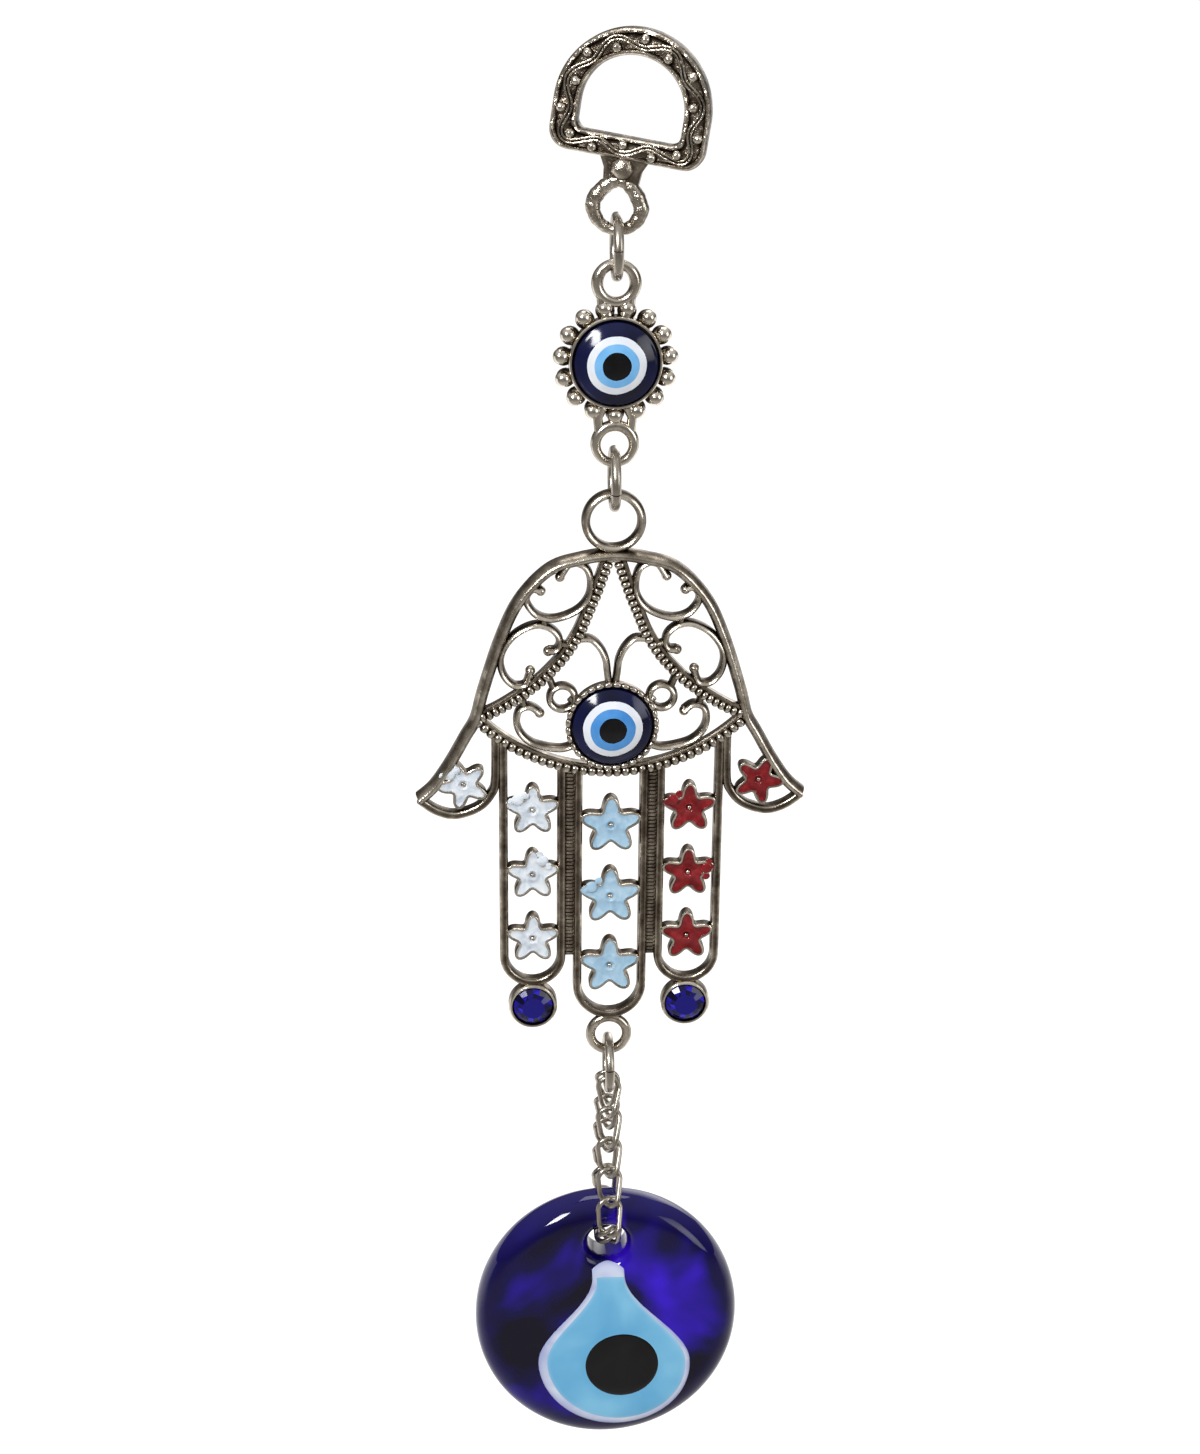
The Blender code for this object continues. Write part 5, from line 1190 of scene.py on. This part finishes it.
# The white border is under half as wide at the top as at the foot, and the blue drop's top is cut
# off level at a height, with a soft corner
border = DROP_BORDER * (0.45 + 0.55 * np.clip((5 * MM - white_outline[:, 1:]) / (10 * MM), 0, 1))
blue_outline = drawn_in(white_outline, border) + BLUE_SHIFT
blue_heights = np.logaddexp(-blue_outline[:, 1] / BLUE_SOFTNESS, -BLUE_TOP / BLUE_SOFTNESS)
blue_outline[:, 1] = -BLUE_SOFTNESS * blue_heights
drop_centre = np.array([1.4 * MM, -DROP_BELLY])
milk_clouds = [(0.3, "#B4BFE2"), (0.5, "#CCD5EC"), (0.7, "#E2E8F4")]
milk = furnace_glass("opal_white_furnace_glass", milk_clouds, "#8E97D0", 6 * MM, 0.25 * MM, 0.0)
sea_clouds = [(0.3, "#62ACDB"), (0.5, "#71B8E2"), (0.7, "#82C5E9")]
turquoise = furnace_glass("turquoise_furnace_glass", sea_clouds, "#C2D6EE", 9 * MM, 0.25 * MM, 0.0)
jet_clouds = [(0.3, "#09080A"), (0.5, "#0E0D10"), (0.7, "#151419")]
jet = furnace_glass("jet_furnace_glass", jet_clouds, "#0B0A10", 5 * MM, 0.15 * MM, 0.0)
pupil_outline = circle(DISC_PUPIL, DISC_PUPIL_RADIUS, 96)[::-1]
# Node, outline, centre, lift off the disc and crown in mm, share of the rim's colour at the edge,
# glass and slot
glass_layers = (
    ("glass_drop_white", white_outline, drop_centre, 0.12, 0.05, 0.9, milk, "milk_glass"),
    ("glass_drop_blue", blue_outline, drop_centre, 0.2, 0.08, 0.8, turquoise, "turquoise_glass"),
    ("glass_pupil", pupil_outline, np.array(DISC_PUPIL), 0.3, 0.38, 0.5, jet, "jet_glass"))
for node, outline, centre, lift, crown, soft, glass, glass_slot in glass_layers:
    patch = fused_layer(outline, centre, lift * MM, crown * MM, soft)
    fused = make_piece(f"{node}_fused", "glass", [patch], glass, disc_centre, sharp=75)
    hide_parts(node)


# Floor, light and camera
# A grey paper floor that looks white to the camera, and glows in reflections only behind the hanging.
# A soft lamp in front, above and to the left, weaker lamps on the right and behind, a wide one
# overhead, and the camera at the photograph's own place, looking down at the hand.

FLOOR = -0.262
FLOOR_GLOW = 0.85
CAMERA_FROM_HAND = Vector((-26.5, -352.5, 139.4)) * MM
CAMERA_DOWN = radians(21.6)
CAMERA_ACROSS = radians(4.01)
CAMERA_ROLL = radians(0.5)
SENSOR_HEIGHT = 36
FOCAL_PIXELS = 2497
PHOTO_HEIGHT = 1454
# Place, width and height in metres, watts, and spread of the light in degrees
LAMPS = {"left_lamp": ((-0.42, -0.62, 0.36), 0.18, 0.3, 0.72, 60),
         "right_lamp": ((0.75, -0.55, 0.1), 0.4, 0.6, 0.28, 60),
         "back_lamp": ((0.35, 0.8, 0.15), 0.5, 0.7, 0.35, 60),
         "top_lamp": ((0.05, 0.25, 0.75), 0.6, 0.4, 1.2, 110)}

floor_mesh = bpy.data.meshes.new("studio_floor")
floor_corners = [(-4, -4, FLOOR), (4, -4, FLOOR), (4, 6, FLOOR), (-4, 6, FLOOR)]
floor_mesh.from_pydata(floor_corners, [], [(0, 1, 2, 3)])
floor = add_object("studio_floor", floor_mesh)
floor_paint, floor_tree, floor_place = new_finish("matt_white_paper")
rays = add_node(floor_tree, "LightPath")
floor_y = add_node(floor_tree, "SeparateXYZ", {"Vector": floor_place}).outputs["Y"]
behind = add_node(floor_tree, "MapRange", {"Value": floor_y, "From Min": -0.05, "From Max": 0.05})
shiny = add_node(floor_tree, "Math",
                 {0: rays.outputs["Is Glossy Ray"], 1: rays.outputs["Is Transmission Ray"]},
                 operation="ADD", use_clamp=True)
seen = add_node(floor_tree, "Math",
                {0: shiny.outputs[0], 1: behind.outputs[0], 2: rays.outputs["Is Camera Ray"]},
                operation="MULTIPLY_ADD", use_clamp=True)
glow = add_node(floor_tree, "Math", {0: seen.outputs[0], 1: FLOOR_GLOW}, operation="MULTIPLY")
floor_shader = add_node(floor_tree, "BsdfPrincipled",
                        {"Base Color": paint("#A3A09C"), "Roughness": 0.9,
                         "Specular IOR Level": 0.1, "Emission Color": paint("#FFFFFF"),
                         "Emission Strength": glow.outputs[0]})
add_node(floor_tree, "OutputMaterial", {"Surface": floor_shader.outputs[0]})
floor_mesh.materials.append(floor_paint)

# A soft grey room that lightens upwards lights the hanging, and the camera itself sees white
studio = bpy.data.worlds.new("soft_studio")
studio.use_nodes = True
bpy.context.scene.world = studio
sky_tree = studio.node_tree
sky_tree.nodes.clear()
sky_rays = add_node(sky_tree, "LightPath")
heading = add_node(sky_tree, "TexCoord").outputs["Generated"]
upward = add_node(sky_tree, "SeparateXYZ", {"Vector": heading}).outputs["Z"]
dome_ramp = add_node(sky_tree, "ValToRGB", {"Fac": upward})
set_stops(dome_ramp, [(0.0, "#6E6C6A"), (0.25, "#8E8C89"), (0.6, "#C9C7C4"), (1.0, "#EDEBE8")])
dome_light = add_node(sky_tree, "Background", {"Color": dome_ramp.outputs["Color"], "Strength": 0.8})
white_light = add_node(sky_tree, "Background", {"Color": paint("#FFFFFF"), "Strength": 1.0})
sky_mix = add_node(sky_tree, "MixShader",
                   {0: sky_rays.outputs["Is Camera Ray"], 1: dome_light.outputs[0],
                    2: white_light.outputs[0]})
add_node(sky_tree, "OutputWorld", {"Surface": sky_mix.outputs[0]})


def aimed(place, way):
    """Standing at a place and looking along a way, as a lamp and a camera do."""
    return Matrix.Translation(place) @ way.to_track_quat("-Z", "Y").to_matrix().to_4x4()


for name, (place, width, height, watts, spread) in LAMPS.items():
    lamp = bpy.data.lights.new(name, "AREA")
    lamp.shape = "RECTANGLE"
    lamp.size = width
    lamp.size_y = height
    lamp.energy = watts
    lamp.spread = radians(spread)
    add_object(name, lamp).matrix_world = aimed(place, hamsa_centre - Vector(place))

lens = bpy.data.cameras.new("photo_camera")
lens.sensor_fit = "VERTICAL"
lens.sensor_height = SENSOR_HEIGHT
lens.lens = FOCAL_PIXELS * SENSOR_HEIGHT / PHOTO_HEIGHT
lens.clip_start = 0.01
camera = add_object("photo_camera", lens)
forward = cos(CAMERA_DOWN)
look = Vector((sin(CAMERA_ACROSS) * forward, cos(CAMERA_ACROSS) * forward, -sin(CAMERA_DOWN)))
camera.matrix_world = (aimed(hamsa_centre + CAMERA_FROM_HAND, look)
                       @ Matrix.Rotation(CAMERA_ROLL, 4, "Z"))
bpy.context.scene.camera = camera
bpy.context.scene.view_settings.view_transform = "Standard"
